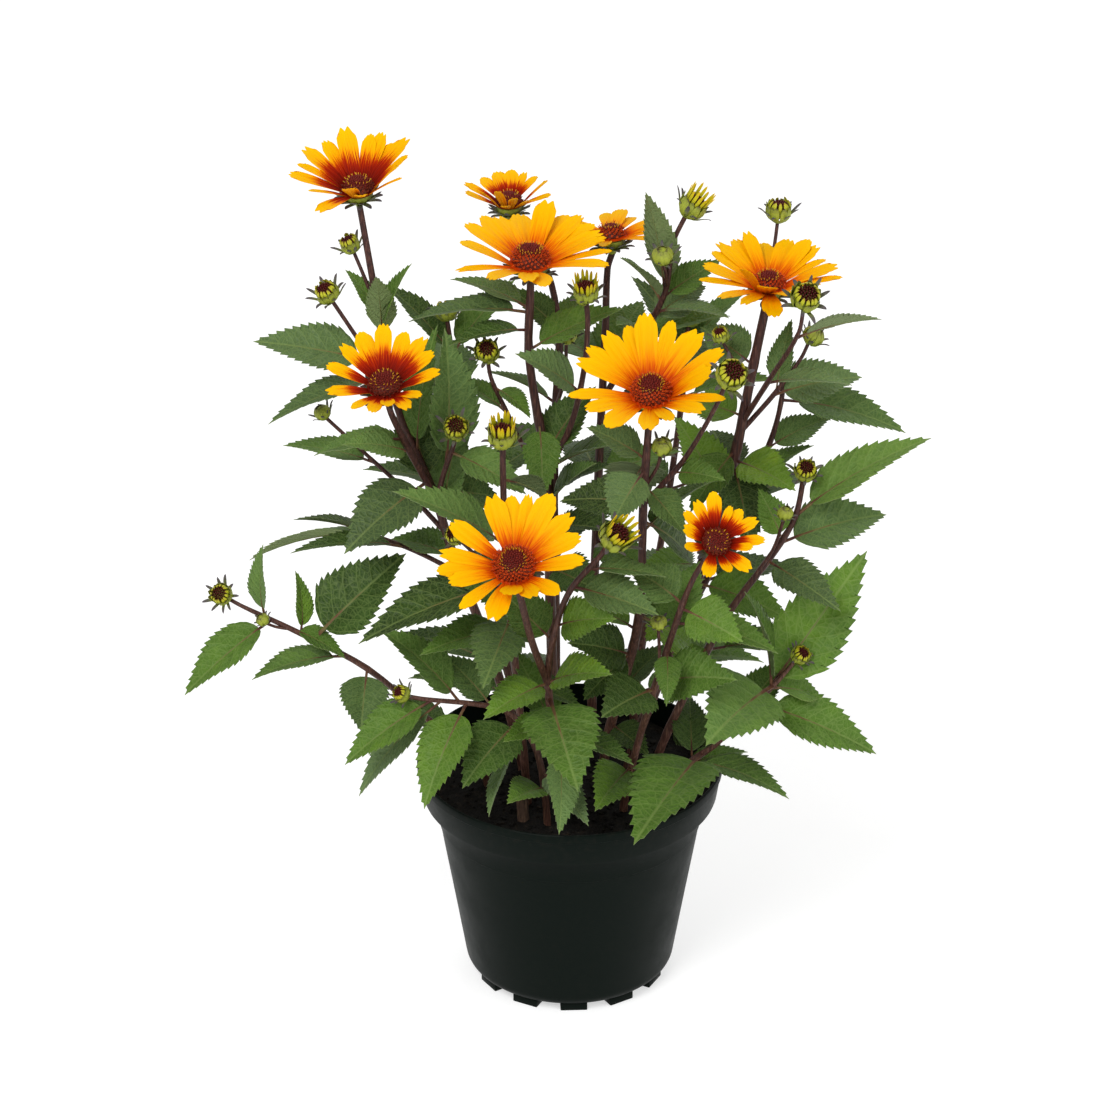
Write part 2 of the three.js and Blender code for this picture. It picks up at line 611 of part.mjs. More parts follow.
// A leaf: a slim petiole that ends in a point deep in the stem, then a folded, arched blade with a row of
// forward teeth on each edge. The midrib is thick and the edges are sharp, and both faces are split into
// triangles alike.
function leaf({ base, stemRadius }, [tipX, tipY, tipZ, width, roll], index) {
  const tip = new THREE.Vector3(tipX, tipY, tipZ);
  const chord = tip.clone().sub(base);
  const length = chord.length();
  chord.normalize();
  const up = new THREE.Vector3(0, 0, 1).addScaledVector(chord, -chord.z).normalize();
  const normal = up.applyAxisAngle(chord, degrees(roll));
  const side = new THREE.Vector3().crossVectors(chord, normal);
  const teeth = length > LONG_LEAF ? 4 : length > SHORT_LEAF ? 3 : 2;
  const slope = Math.tan(degrees(LEAF_FOLD));

  const place = (share, across, lift) => {
    const arch = LEAF_ARCH * length * 4 * share * (1 - share);
    return base
      .clone()
      .addScaledVector(chord, length * share)
      .addScaledVector(side, across)
      .addScaledVector(normal, arch + Math.abs(across) * slope + lift);
  };
  const shareOf = (along) => PETIOLE_SHARE + (1 - PETIOLE_SHARE) * along;

  const points = [];
  const put = (...where) => points.push(place(...where)) - 1;
  const station = (share, halfWidth, thickness) => ({
    left: put(share, -halfWidth, 0),
    right: put(share, halfWidth, 0),
    top: put(share, 0, thickness / 2),
    bottom: put(share, 0, -thickness / 2),
  });

  const root = put((-PETIOLE_ROOT * stemRadius) / length, 0, 0);
  const stations = [station(PETIOLE_SHARE, PETIOLE_HALF_WIDTH, MIDRIB_THICKNESS)];
  const toothTips = [];
  for (let i = 1; i <= teeth; i++) {
    const notchAlong = i / (teeth + 1);
    const toothAlong = (i - TOOTH_FORWARD) / (teeth + 1);
    const flutter = LEAF_FLUTTER * width * wobble(index + 1, i);
    const toothHalf = (width / 2) * bladeHalfWidth(toothAlong) * TOOTH_OUT + TOOTH_LENGTH;
    const notchHalf = (width / 2) * bladeHalfWidth(notchAlong) * NOTCH_IN;
    const thickness = MIDRIB_THICKNESS - (MIDRIB_THINNING * i) / teeth;
    stations.push(station(shareOf(notchAlong), notchHalf, thickness));
    toothTips.push({
      left: put(shareOf(toothAlong), -toothHalf, flutter),
      right: put(shareOf(toothAlong), toothHalf, -flutter),
    });
  }
  const point = put(1, 0, 0);

  const first = stations[0];
  const faces = [
    [root, first.top, first.left],
    [root, first.right, first.top],
    [root, first.left, first.bottom],
    [root, first.bottom, first.right],
  ];
  stations.forEach((here, i) => {
    const next = stations[i + 1];
    if (!next) {
      faces.push([here.top, point, here.left], [here.top, here.right, point]);
      faces.push([here.bottom, here.left, point], [here.bottom, point, here.right]);
      return;
    }
    const tooth = toothTips[i];
    for (const [edge, turned] of [["left", false], ["right", true]]) {
      const top = [
        [here.top, tooth[edge], here[edge]],
        [here.top, next.top, tooth[edge]],
        [next.top, next[edge], tooth[edge]],
      ];
      const bottom = [
        [here.bottom, here[edge], tooth[edge]],
        [here.bottom, tooth[edge], next.bottom],
        [next.bottom, tooth[edge], next[edge]],
      ];
      faces.push(...[...top, ...bottom].map((face) => (turned ? [face[0], face[2], face[1]] : face)));
    }
  });
  return solidFrom(points, faces);
}

// A green bud on its stalk: a round belly, a crown of pointed bracts, and a shut or open middle.
function budRings([x, y, z, radius, stage, right, front], stalkEnd, sides) {
  const at = new THREE.Vector3(x, y, z);
  const turned = new THREE.Vector3(right, -front, BUD_UPTURN);
  const axis = at.clone().sub(stalkEnd.at).normalize().add(turned).normalize();
  const frame = frameAt(at, axis, stalkEnd.right);
  const ring = (count, { radii, heights }) =>
    ringAbout(frame, count, radii.map((r) => r * radius), heights.map((h) => h * radius));
  const peak = (height) => [at.clone().addScaledVector(axis, height * radius)];
  const rings = [ring(sides, BUD_FOOT), ring(2 * sides, BUD_BELLY), ring(2 * sides, BUD_BRACTS)];
  if (stage === 0) return [...rings, peak(BUD_TIP)];
  const top = stage === 2 ? RAYED_TOP : EYED_TOP;
  return [...rings, ring(2 * sides, { radii: [BUD_MOUTH], heights: [top] }), peak(top - BUD_HOLLOW)];
}

// The green cup under a head, with its spread bracts and the flat top that the rays' plate sits over.
function calyxRings(head, stalkEnd) {
  const frame = frameAt(vector(head.at), headAxis(head), stalkEnd.right);
  const disc = head.disc[0];
  const count = 2 * STEM_SIDES;
  const bracts = CALYX_BRACT.heights.map((height) => height * CALYX_DEPTH);
  return [
    ringAbout(frame, STEM_SIDES, [CALYX_FOOT_RADIUS], [-CALYX_DEPTH]),
    ringAbout(frame, count, [CALYX_BELLY.width * disc], [CALYX_BELLY.height * CALYX_DEPTH]),
    ringAbout(frame, count, [disc + CALYX_BRACT_LENGTH, CALYX_BRACT.width * disc], bracts),
    ringAbout(frame, count, [CALYX_TOP * disc], [-PLATE_HALF - GAP]),
  ];
}

// One ray widens from its root in the plate, droops a little outwards and ends in two teeth and a notch.
// It has a flat back and a ridge along its front, and every second ray stands a little higher.
function ray(frame, plateRadius, [way, reach, rise, width], index) {
  const angle = degrees(way);
  const slope = degrees(rise);
  const out = frame.right
    .clone()
    .multiplyScalar(Math.cos(angle))
    .addScaledVector(frame.back, Math.sin(angle));
  const side = new THREE.Vector3().crossVectors(frame.axis, out);
  const lift = index % 2 ? RAY_LIFT : 0;
  const twist = RAY_TWIST * wobble(way, index);
  const place = (along, share, height) => {
    const across = (share * width) / 2;
    const climb = reach * (Math.sin(slope) * along - RAY_DROOP * along * along);
    return frame.at
      .clone()
      .addScaledVector(out, plateRadius - RAY_ROOT_DEPTH + reach * along * Math.cos(slope))
      .addScaledVector(side, across)
      .addScaledVector(frame.axis, climb + along * (lift + twist * across) + height);
  };
  const back = -RAY_THICKNESS / 2;
  const section = (along, share) => [
    place(along, -share, back),
    place(along, 0, back + RAY_THICKNESS),
    place(along, share, back),
  ];
  const points = [
    ...section(0, RAY_ROOT_SHARE),
    ...section(RAY_WIDEST, 1),
    place(1, -RAY_TIP_SHARE, back),
    place(RAY_NOTCH, 0, back),
    place(1, RAY_TIP_SHARE, back),
  ];
  const [right, ridge, left, rightTooth, notch, leftTooth] = [3, 4, 5, 6, 7, 8];
  const faces = [[0, 1, 2]];
  for (let i = 0; i < 3; i++) {
    const next = (i + 1) % 3;
    faces.push([i, 3 + next, next], [i, 3 + i, 3 + next]);
  }
  faces.push([right, notch, ridge], [right, rightTooth, notch]);
  faces.push([ridge, notch, left], [left, notch, leftTooth]);
  faces.push([right, left, notch], [right, notch, rightTooth], [left, leftTooth, notch]);
  return solidFrom(points, faces);
}

// All the rays of a head, fused with the thin plate that they grow from.
function rayRing(head) {
  const frame = headFrame(head);
  const plateRadius = head.disc[0] + PLATE_MARGIN;
  const corner = plateRadius / Math.cos(Math.PI / DISC_SIDES);
  const plate = skin([
    ringAbout(frame, DISC_SIDES, [corner], [-PLATE_HALF]),
    ringAbout(frame, DISC_SIDES, [corner], [PLATE_HALF]),
  ]);
  return fused([plate, ...head.rays.map((blade, i) => ray(frame, plateRadius, blade, i))]);
}

// The domed disc of small florets, in staggered rows that stand in and out.
function disc(head) {
  const frame = headFrame(head);
  const [radius, height] = head.disc;
  const floor = PLATE_HALF + GAP;
  const row = (share, rise, stagger) => {
    const near = share * radius;
    const radii = [near, FLORET_IN * near];
    const heights = [rise, rise + FLORET_STEP];
    if (stagger) [radii, heights].forEach((pair) => pair.reverse());
    return ringAbout(frame, DISC_SIDES, radii, heights);
  };
  return skin([
    ringAbout(frame, DISC_SIDES, [DISC_FOOT * radius], [floor]),
    row(DISC_ROWS.edge, floor + DISC_EDGE_RISE, false),
    row(DISC_ROWS.shoulder, floor + DISC_RISES.shoulder * height, true),
    row(DISC_ROWS.crown, floor + DISC_RISES.crown * height, false),
    [frame.at.clone().addScaledVector(frame.axis, floor + height)],
  ]);
}

// One shoot with all that it carries, fused into one body.
function shoot(axes) {
  const bodies = [];
  const leaves = [];
  axes.forEach((axis, order) => {
    const route = axis.route.map(vector);
    const sides = order === 0 || axis.head ? STEM_SIDES : BRANCH_SIDES;
    const rings = stemRings(route, axis.radii, sides);
    const stalkEnd = rings.at(-1).frame;
    const ending = [];
    if (axis.head) ending.push(...calyxRings(HEADS[axis.head], stalkEnd));
    if (axis.bud) ending.push(...budRings(axis.bud, stalkEnd, sides));
    bodies.push(skin([...rings.map((ring) => ring.points), ...ending]));
    axis.leaves.forEach(([height, ...blade], i) => {
      leaves.push(leaf(spotAtHeight(route, axis.radii, height), blade, i));
    });
  });
  return fused([...bodies, ...leaves]);
}

function polarPoints(profile) {
  return profile.map(([radius, height]) => new THREE.Vector2(radius, height));
}

// A lathed body about +Z.
function turned(profile, sides) {
  const lathe = new THREE.LatheGeometry(polarPoints(profile), sides);
  lathe.rotateX(Math.PI / 2);
  return solidOfGeometry(lathe);
}

function boxAt(size, position, turn) {
  const box = new THREE.BoxGeometry(...size);
  box.translate(...position);
  box.rotateZ(turn);
  return solidOfGeometry(box);
}

// The pot: a tapered wall with a rolled rim and a wide collar, on a round-cornered base that stands on
// a ring of low feet, with drain holes through the base.
function pot() {
  const collarFoot = POT_HEIGHT - COLLAR_HEIGHT;
  const corner = Array.from({ length: 3 }, (_, i) => {
    const angle = degrees(-90 + (BASE_CORNER_ARC * i) / 2);
    return [
      WALL_FOOT_RADIUS - BASE_CORNER + BASE_CORNER * Math.cos(angle),
      FOOT_HEIGHT + BASE_CORNER + BASE_CORNER * Math.sin(angle),
    ];
  });
  const shell = turned(
    [
      [0, FOOT_HEIGHT],
      ...corner,
      [WALL_TOP_RADIUS, collarFoot - LEDGE_DROP],
      [COLLAR_FOOT_RADIUS, collarFoot],
      [RIM_RADIUS, POT_HEIGHT],
      [RIM_RADIUS - WALL_THICKNESS, POT_HEIGHT],
      [COLLAR_FOOT_RADIUS - WALL_THICKNESS, collarFoot + LEDGE_RISE],
      [WALL_TOP_RADIUS - WALL_THICKNESS, collarFoot],
      [WALL_FOOT_RADIUS - WALL_THICKNESS, FOOT_HEIGHT + BASE_CORNER],
      [WALL_FOOT_RADIUS - BASE_CORNER, FOOT_HEIGHT + BASE_THICKNESS],
      [0, FOOT_HEIGHT + BASE_THICKNESS],
    ],
    POT_SIDES,
  );
  const step = (2 * Math.PI) / FOOT_COUNT;
  const firstFoot = degrees(FOOT_TURN);
  const footTop = FOOT_HEIGHT + FOOT_ROOT;
  const feet = Array.from({ length: FOOT_COUNT }, (_, i) =>
    boxAt(
      [FOOT_WIDTH, FOOT_DEPTH, footTop],
      [0, FOOT_OUTER_RADIUS - FOOT_DEPTH / 2, footTop / 2],
      firstFoot + i * step,
    ),
  );
  const drains = Array.from({ length: FOOT_COUNT / 2 }, (_, i) =>
    boxAt(
      [DRAIN_WIDTH, DRAIN_LENGTH, 2 * BASE_THICKNESS],
      [0, DRAIN_RADIUS, FOOT_HEIGHT + BASE_THICKNESS / 2],
      firstFoot + (2 * i + 0.5) * step,
    ),
  );
  return drains.reduce((body, drain) => body.subtract(drain), fused([shell, ...feet]));
}

// The soil fills the pot, with a rough top and a plain hole for each stem.
function soil(holes) {
  const collarFoot = POT_HEIGHT - COLLAR_HEIGHT;
  const inset = WALL_THICKNESS + GAP + SOIL_SLACK;
  const collarShare = (SOIL_LEVEL - collarFoot) / COLLAR_HEIGHT;
  const topRadius = COLLAR_FOOT_RADIUS - inset + collarShare * (RIM_RADIUS - COLLAR_FOOT_RADIUS);
  const facet = Math.cos(Math.PI / SOIL_SIDES);
  const ring = (radius, height, bump = 0, seed = 0) =>
    Array.from({ length: SOIL_SIDES }, (_, i) => {
      const angle = (2 * Math.PI * i) / SOIL_SIDES;
      return new THREE.Vector3(
        radius * facet * Math.cos(angle),
        radius * facet * Math.sin(angle),
        height + bump * wobble(seed, i),
      );
    });
  const body = skin([
    ring(WALL_FOOT_RADIUS - BASE_CORNER - GAP, FOOT_HEIGHT + BASE_THICKNESS + GAP),
    ring(WALL_FOOT_RADIUS - inset, FOOT_HEIGHT + BASE_CORNER + SOIL_SLACK),
    ring(WALL_TOP_RADIUS - inset, collarFoot + GAP),
    ring(COLLAR_FOOT_RADIUS - inset, collarFoot + LEDGE_RISE + SOIL_SLACK),
    ring(topRadius, SOIL_LEVEL - SOIL_EDGE_DROP),
    ...SOIL_RINGS.map((share, i) => ring(topRadius * share, SOIL_LEVEL, SOIL_ROUGHNESS, i + 1)),
    ring(topRadius * SOIL_MIDDLE, SOIL_LEVEL),
  ]);
  return holes.reduce((left, hole) => left.subtract(hole), body);
}

// The buried length of a stem with a little room round it.
function holeFor([foot, next], radii) {
  const frame = frameAt(foot, next.clone().sub(foot).normalize());
  const radius = (Math.max(...radii) + GAP) / Math.cos(Math.PI / STEM_SIDES);
  return skin([
    ringAbout(frame, STEM_SIDES, [radius], [-GAP]),
    ringAbout(frame, STEM_SIDES, [radius], [foot.distanceTo(next)]),
  ]);
}

const finish = (color, roughness) => new THREE.MeshStandardMaterial({ color, roughness, metalness: 0 });
const FINISHES = {
  plastic: finish(0x1b2521, 0.45),
  soil: finish(0x1d1613, 0.95),
  bark: finish(0x6b4a35, 0.85),
  foliage: finish(0x3f6b2c, 0.6),
  rays: finish(0xf5a300, 0.55),
  burntRays: finish(0xd9800c, 0.55),
  florets: finish(0x6a1a12, 0.8),
};
const BURNT_HEADS = ["bloom_upper_left", "bloom_back_left", "bloom_left", "bloom_lower_right"];

const plant = new THREE.Group();
plant.position.x = POT_OFFSET;
function add(name, solid, material) {
  const mesh = new THREE.Mesh(geometryOf(solid), material);
  mesh.name = name;
  plant.add(mesh);
}

const stubPoints = [
  new THREE.Vector3(STUB_ROOT[0], STUB_ROOT[1], SOIL_LEVEL - ROOT_DEPTH),
  new THREE.Vector3(STUB_ROOT[0] - STUB_LEAN, STUB_ROOT[1], SOIL_LEVEL + STUB_HEIGHT),
];
const stubRadii = [STUB_RADIUS, STUB_RADIUS];
const stub = skin(stemRings(stubPoints, stubRadii, STEM_SIDES).map((ring) => ring.points));
const holes = Object.values(SHOOTS).map(([main]) => holeFor(main.route.map(vector), main.radii));
holes.push(holeFor(stubPoints, stubRadii));

add("pot", pot(), FINISHES.plastic);
add("soil", soil(holes), FINISHES.soil);
add("cut_stub", stub, FINISHES.bark);
for (const [name, axes] of Object.entries(SHOOTS)) add(name, shoot(axes), FINISHES.foliage);
for (const [name, head] of Object.entries(HEADS)) {
  const burnt = BURNT_HEADS.includes(name);
  add(`${name}_rays`, rayRing(head), burnt ? FINISHES.burntRays : FINISHES.rays);
  add(`${name}_disc`, disc(head), FINISHES.florets);
}

export default plant;
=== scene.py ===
# A false sunflower in its nursery pot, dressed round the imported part: a moulded pot, potting soil, the
# stub of an old stem, and shoots with their stems, leaves, buds, green cups, rays and discs.
# Places are written in millimetres from the ground under the middle of the pot.
import math
import random

import bpy
import numpy as np
from mathutils import Matrix, Vector, noise


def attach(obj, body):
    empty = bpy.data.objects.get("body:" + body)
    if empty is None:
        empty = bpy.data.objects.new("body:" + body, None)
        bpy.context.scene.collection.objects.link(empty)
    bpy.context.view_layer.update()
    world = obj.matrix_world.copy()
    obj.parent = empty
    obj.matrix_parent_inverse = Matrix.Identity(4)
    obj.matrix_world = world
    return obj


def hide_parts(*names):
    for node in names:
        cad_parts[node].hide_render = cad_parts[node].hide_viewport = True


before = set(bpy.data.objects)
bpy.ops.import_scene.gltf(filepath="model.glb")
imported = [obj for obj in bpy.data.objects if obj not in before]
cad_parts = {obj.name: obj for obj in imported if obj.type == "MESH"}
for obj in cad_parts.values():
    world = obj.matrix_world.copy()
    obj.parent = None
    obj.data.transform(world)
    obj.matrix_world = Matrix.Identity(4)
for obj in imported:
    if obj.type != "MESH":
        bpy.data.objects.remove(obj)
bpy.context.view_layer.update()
bpy.ops.object.select_all(action="DESELECT")


# Camera
# The plant is seen from the front and from above, through a long lens.
CAMERA_TARGET = Vector((0.0015, 0, 0.2554))
CAMERA_DISTANCE = 2.2
CAMERA_TILT = math.radians(27.4)
CAMERA_LENS = 130.5

bpy.ops.object.camera_add(
    location=CAMERA_TARGET
    + CAMERA_DISTANCE * Vector((0, -math.cos(CAMERA_TILT), math.sin(CAMERA_TILT))),
    rotation=(math.pi / 2 - CAMERA_TILT, 0, 0),
)
camera = bpy.context.object
camera.name = "camera"
camera.data.lens = CAMERA_LENS
bpy.context.scene.camera = camera


# Pot
# One thin shell of dark polypropylene, injection moulded: a round-cornered base on low feet, a tapered
# wall, a wide collar for stacking and a rolled rim. Six drain holes go through the base inside the feet.
MM = 0.001
POT_OFFSET = 7
POT_AXIS = (POT_OFFSET * MM, 0, 0)
POT_STEPS = 144
BASE_RADIUS = 51
CORNER_RADIUS = 8
FOOT_HEIGHT = 4
FOOT_COUNT = 12
FOOT_TURN = math.radians(2.4)
FOOT_SIZE = (15, 8, 4.8)
FOOT_RADIUS = 50.5
FOOT_EASE = 0.5
DRAIN_SIZE = (8, 7, 6)
DRAIN_RADIUS = 42
DRAIN_LEVEL = 5
DRAIN_EASE = 0.8
CORNER_ANGLES = [math.radians(12 * i) for i in range(8)]
POT_PROFILE = [
    (0, FOOT_HEIGHT),
    *(
        (BASE_RADIUS + CORNER_RADIUS * math.sin(a), FOOT_HEIGHT + CORNER_RADIUS * (1 - math.cos(a)))
        for a in CORNER_ANGLES
    ),
    (65.1, 49), (70.6, 82), (72.7, 95), (73.2, 95.5), (73.4, 97), (75.2, 109.6), (75.9, 110.6), (77.4, 111.2),
    (80.6, 111.6), (81.7, 112.1), (82.1, 113.2), (84.2, 126.6), (84.9, 127.3), (85, 129), (85, 130.6),
    (84.8, 131.5), (84.3, 132), (83.6, 132), (83.1, 131.5), (82.9, 130.4), (80.5, 114.2), (79.6, 113.2),
    (75, 112.4), (73.9, 111.6), (73.4, 110.4), (57.4, 12), (56.4, 9), (54.2, 6.9), (51, 6), (0, 6),
]


def put(material, kind, inputs=None, **settings):
    """Adds a shader node. An input that is a socket is linked, and any other value is set."""
    made = material.node_tree.nodes.new("ShaderNode" + kind)
    for name, value in settings.items():
        setattr(made, name, value)
    for name, value in (inputs or {}).items():
        if isinstance(value, bpy.types.NodeSocket):
            material.node_tree.links.new(value, made.inputs[name])
        else:
            made.inputs[name].default_value = value
    return made


def calc(material, operation, first, second=0.0):
    """The result of one step of arithmetic between sockets or numbers."""
    return put(material, "Math", {0: first, 1: second}, operation=operation).outputs[0]


def span(material, value, low, high, new_low=0.0, new_high=1.0):
    """A value between two limits, clamped and stretched to a new range."""
    ends = {"Value": value, "From Min": low, "From Max": high, "To Min": new_low, "To Max": new_high}
    return put(material, "MapRange", ends).outputs[0]


def clouds(material, place, scale, detail, roughness=0.5):
    """Soft noise over a surface, from 0 to 1."""
    inputs = {"Vector": place, "Scale": scale, "Detail": detail, "Roughness": roughness}
    return put(material, "TexNoise", inputs).outputs["Fac"]


def blended(material, share, first, second):
    """A colour between two colours."""
    ends = [end if isinstance(end, bpy.types.NodeSocket) else (*end, 1) for end in (first, second)]
    return put(material, "Mix", {0: share, 6: ends[0], 7: ends[1]}, data_type="RGBA").outputs[2]


def ramped(material, value, stops):
    """A colour from a row of (place, colour) stops."""
    made = put(material, "ValToRGB", {"Fac": value})
    elements = made.color_ramp.elements
    while len(elements) < len(stops):
        elements.new(0.5)
    for element, (place, colour) in zip(elements, stops):
        element.position = place
        element.color = (*colour, 1)
    return made.outputs["Color"]


def finish(name, roughness, **others):
    """A new material with its shader's fixed values."""
    material = bpy.data.materials.new(name)
    material.use_nodes = True
    shader = material.node_tree.nodes["Principled BSDF"]
    shader.inputs["Roughness"].default_value = roughness
    for socket, value in others.items():
        shader.inputs[socket.replace("_", " ")].default_value = value
    return material


def feed(material, name, value):
    """Links a socket to one of the shader's inputs."""
    material.node_tree.links.new(value, material.node_tree.nodes["Principled BSDF"].inputs[name])


def emboss(material, height, strength, distance, **settings):
    """Lets a height stand out of the surface, as fine relief."""
    relief = put(material, "Bump", {"Height": height, "Strength": strength, "Distance": distance}, **settings)
    feed(material, "Normal", relief.outputs["Normal"])


def facing_out():
    """Ends an edit with all faces pointing outwards."""
    bpy.ops.mesh.select_all(action="SELECT")
    bpy.ops.mesh.normals_make_consistent(inside=False)
    bpy.ops.object.mode_set(mode="OBJECT")


def spun(name, profile, steps):
    """A round body about the pot's axis, spun from (radius, height) points in millimetres."""
    bpy.ops.mesh.primitive_plane_add(size=MM)
    body = bpy.context.object
    body.name = name
    bpy.ops.object.mode_set(mode="EDIT")
    bpy.ops.mesh.merge(type="CENTER")
    radius, height = profile[0]
    bpy.ops.transform.translate(value=((POT_OFFSET + radius) * MM, 0, height * MM))
    for here, there in zip(profile, profile[1:]):
        step = ((there[0] - here[0]) * MM, 0, (there[1] - here[1]) * MM)
        bpy.ops.mesh.extrude_vertices_move(TRANSFORM_OT_translate={"value": step})
    bpy.ops.mesh.select_all(action="SELECT")
    bpy.ops.mesh.spin(steps=steps, angle=2 * math.pi, center=POT_AXIS, axis=(0, 0, 1))
    bpy.ops.mesh.select_all(action="SELECT")
    bpy.ops.mesh.remove_doubles(threshold=0.02 * MM)
    facing_out()
    return body


def block_at(size, radius, level, angle, bevel):
    """A small block with eased edges that stands on a circle about the pot's axis."""
    bpy.ops.mesh.primitive_cube_add(size=1)
    block = bpy.context.object
    block.data.transform(Matrix.Diagonal((*(s * MM for s in size), 1)))
    bpy.ops.object.mode_set(mode="EDIT")
    bpy.ops.mesh.bevel(offset=bevel * MM, segments=2, affect="EDGES")
    bpy.ops.object.mode_set(mode="OBJECT")
    block.data.transform(Matrix.Translation((0, radius * MM, level * MM)))
    block.data.transform(Matrix.Rotation(angle, 4, "Z"))
    block.data.transform(Matrix.Translation(POT_AXIS))
    return block


def joined(name, parts):
    """Several pieces made one."""
    bpy.ops.object.select_all(action="DESELECT")
    for part in parts:
        part.select_set(True)
    whole = parts[0]
    bpy.context.view_layer.objects.active = whole
    if len(parts) > 1:
        bpy.ops.object.join()
    whole.name = name
    whole.data.name = name
    bpy.ops.object.select_all(action="DESELECT")
    return whole


def pick(piece):
    """Makes one piece the only selected one, and the active one."""
    bpy.ops.object.select_all(action="DESELECT")
    piece.select_set(True)
    bpy.context.view_layer.objects.active = piece


def cut_or_fused(body, tool, operation):
    """The body with a tool cut from it or fused to it."""
    pick(body)
    bpy.ops.object.modifier_add(type="BOOLEAN")
    modifier = body.modifiers[-1]
    modifier.operation = operation
    modifier.solver = "EXACT"
    modifier.use_self = True
    modifier.object = tool
    bpy.ops.object.modifier_apply(modifier=modifier.name)
    bpy.data.objects.remove(tool)


def smoothed(piece, degrees):
    """Smooth shading, with edges sharper than an angle kept crisp."""
    pick(piece)
    bpy.ops.object.shade_smooth_by_angle(angle=math.radians(degrees))
    piece.select_set(False)


def stands_for(piece, slot, *nodes):
    """The piece goes with the part's one body, in place of its plain solids."""
    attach(piece, "root")
    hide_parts(*nodes)


pot = spun("nursery_pot", POT_PROFILE, POT_STEPS)
foot_step = 2 * math.pi / FOOT_COUNT
feet = [
    block_at(FOOT_SIZE, FOOT_RADIUS, FOOT_SIZE[2] / 2, FOOT_TURN + i * foot_step, FOOT_EASE)
    for i in range(FOOT_COUNT)
]
drains = [
    block_at(DRAIN_SIZE, DRAIN_RADIUS, DRAIN_LEVEL, FOOT_TURN + (i + 0.5) * foot_step, DRAIN_EASE)
    for i in range(0, FOOT_COUNT, 2)
]
cut_or_fused(pot, joined("feet", feet), "UNION")
cut_or_fused(pot, joined("drains", drains), "DIFFERENCE")

plastic = finish("satin_pot_plastic", 0.42, Specular_IOR_Level=0.045)
place = put(plastic, "TexCoord").outputs["Object"]
height = put(plastic, "SeparateXYZ", {"Vector": place}).outputs["Z"]
scuffs = clouds(plastic, place, 55, 6, 0.65)
dust = span(plastic, clouds(plastic, place, 260, 4), 0.5, 0.72)
near_rim = span(plastic, height, 0.108, 0.134, 0.0, 0.3)
dusty = calc(plastic, "MULTIPLY", dust, calc(plastic, "ADD", near_rim, 0.08))
clean = blended(plastic, scuffs, (0.0022, 0.0052, 0.0036), (0.0042, 0.0068, 0.0052))
feed(plastic, "Base Color", blended(plastic, dusty, clean, (0.014, 0.013, 0.01)))
feed(plastic, "Roughness", span(plastic, scuffs, 0.3, 0.7, 0.36, 0.5))
emboss(plastic, clouds(plastic, place, 1500, 2), 0.12, 0.0004)
pot.data.materials.append(plastic)
smoothed(pot, 32)
stands_for(pot, "pot_plastic", "pot")


# Soil
# Dark, damp peat compost that was poured in and has settled below the rim. Its top is lumpy, with
# loose crumbs and slivers of bark on it.
SOIL_LEVEL = 118
SOIL_STEPS = 120
SOIL_TOP_RADIUS = 80.2
SOIL_RINGS = 34
SOIL_LUMPS = 2.6
LUMP_PITCH = 26
GRIT_PITCH = 5.5
CRUMB_COUNT = 620
CRUMB_FIELD = 78
ANY_TURN = 6.28
SOIL_PROFILE = [
    (0, 5.3), (50, 5.3), (56.4, 11.5), (73, 112.2), (79.4, 114.5), (SOIL_TOP_RADIUS, 116),
    *((SOIL_TOP_RADIUS * (1 - i / SOIL_RINGS), SOIL_LEVEL) for i in range(1, SOIL_RINGS + 1)),
]


def soil_lift(x, y):
    """How far the soil's top stands over its level at a place, in millimetres."""
    wide = noise.fractal(Vector((x, y, 3.0)) / LUMP_PITCH, 1.0, 2.0, 3)
    fine = noise.fractal(Vector((x, y, 9.0)) / GRIT_PITCH, 0.9, 2.1, 3)
    return SOIL_LUMPS * (0.8 * wide + 0.42 * fine) - 0.4


def shape_points(piece, move):
    """Moves every point of a mesh to where a rule puts it."""
    flat = np.empty(len(piece.data.vertices) * 3)
    piece.data.vertices.foreach_get("co", flat)
    piece.data.vertices.foreach_set("co", np.asarray(move(flat.reshape(-1, 3))).ravel())
    piece.data.update()


def own_copy(model, name, move=None):
    """A copy with its own mesh, shaped by a rule where one is given."""
    copy = bpy.data.objects.new(name, model.data.copy())
    bpy.context.collection.objects.link(copy)
    if move:
        shape_points(copy, move)
    return copy


soil = spun("potting_soil", SOIL_PROFILE, SOIL_STEPS)
for vertex in soil.data.vertices:
    if vertex.co.z > (SOIL_LEVEL - 0.5) * MM:
        vertex.co.z += soil_lift(vertex.co.x / MM, vertex.co.y / MM) * MM

bpy.ops.mesh.primitive_ico_sphere_add(subdivisions=1, radius=MM)
crumb = bpy.context.object
draw = random.Random(11)
crumbs = [soil]
for index in range(CRUMB_COUNT):
    angle = draw.uniform(0, 2 * math.pi)
    radius = CRUMB_FIELD * math.sqrt(draw.random())
    x = POT_OFFSET + radius * math.cos(angle)
    y = radius * math.sin(angle)
    size = draw.uniform(0.5, 1.5) if index % 9 else draw.uniform(1.4, 2.6)
    stretch = Matrix.Diagonal((size * draw.uniform(0.8, 1.9), size, size * draw.uniform(0.5, 0.8), 1))
    turn = Matrix.Rotation(draw.uniform(0, ANY_TURN), 4, "Z")
    turn = turn @ Matrix.Rotation(draw.uniform(-0.6, 0.6), 4, "X")
    level = SOIL_LEVEL + soil_lift(x, y) + 0.25 * size
    copy = own_copy(crumb, "crumb")
    copy.data.transform(turn @ stretch)
    copy.data.transform(Matrix.Translation((x * MM, y * MM, level * MM)))
    crumbs.append(copy)
bpy.data.objects.remove(crumb)
soil = joined("potting_soil", crumbs)

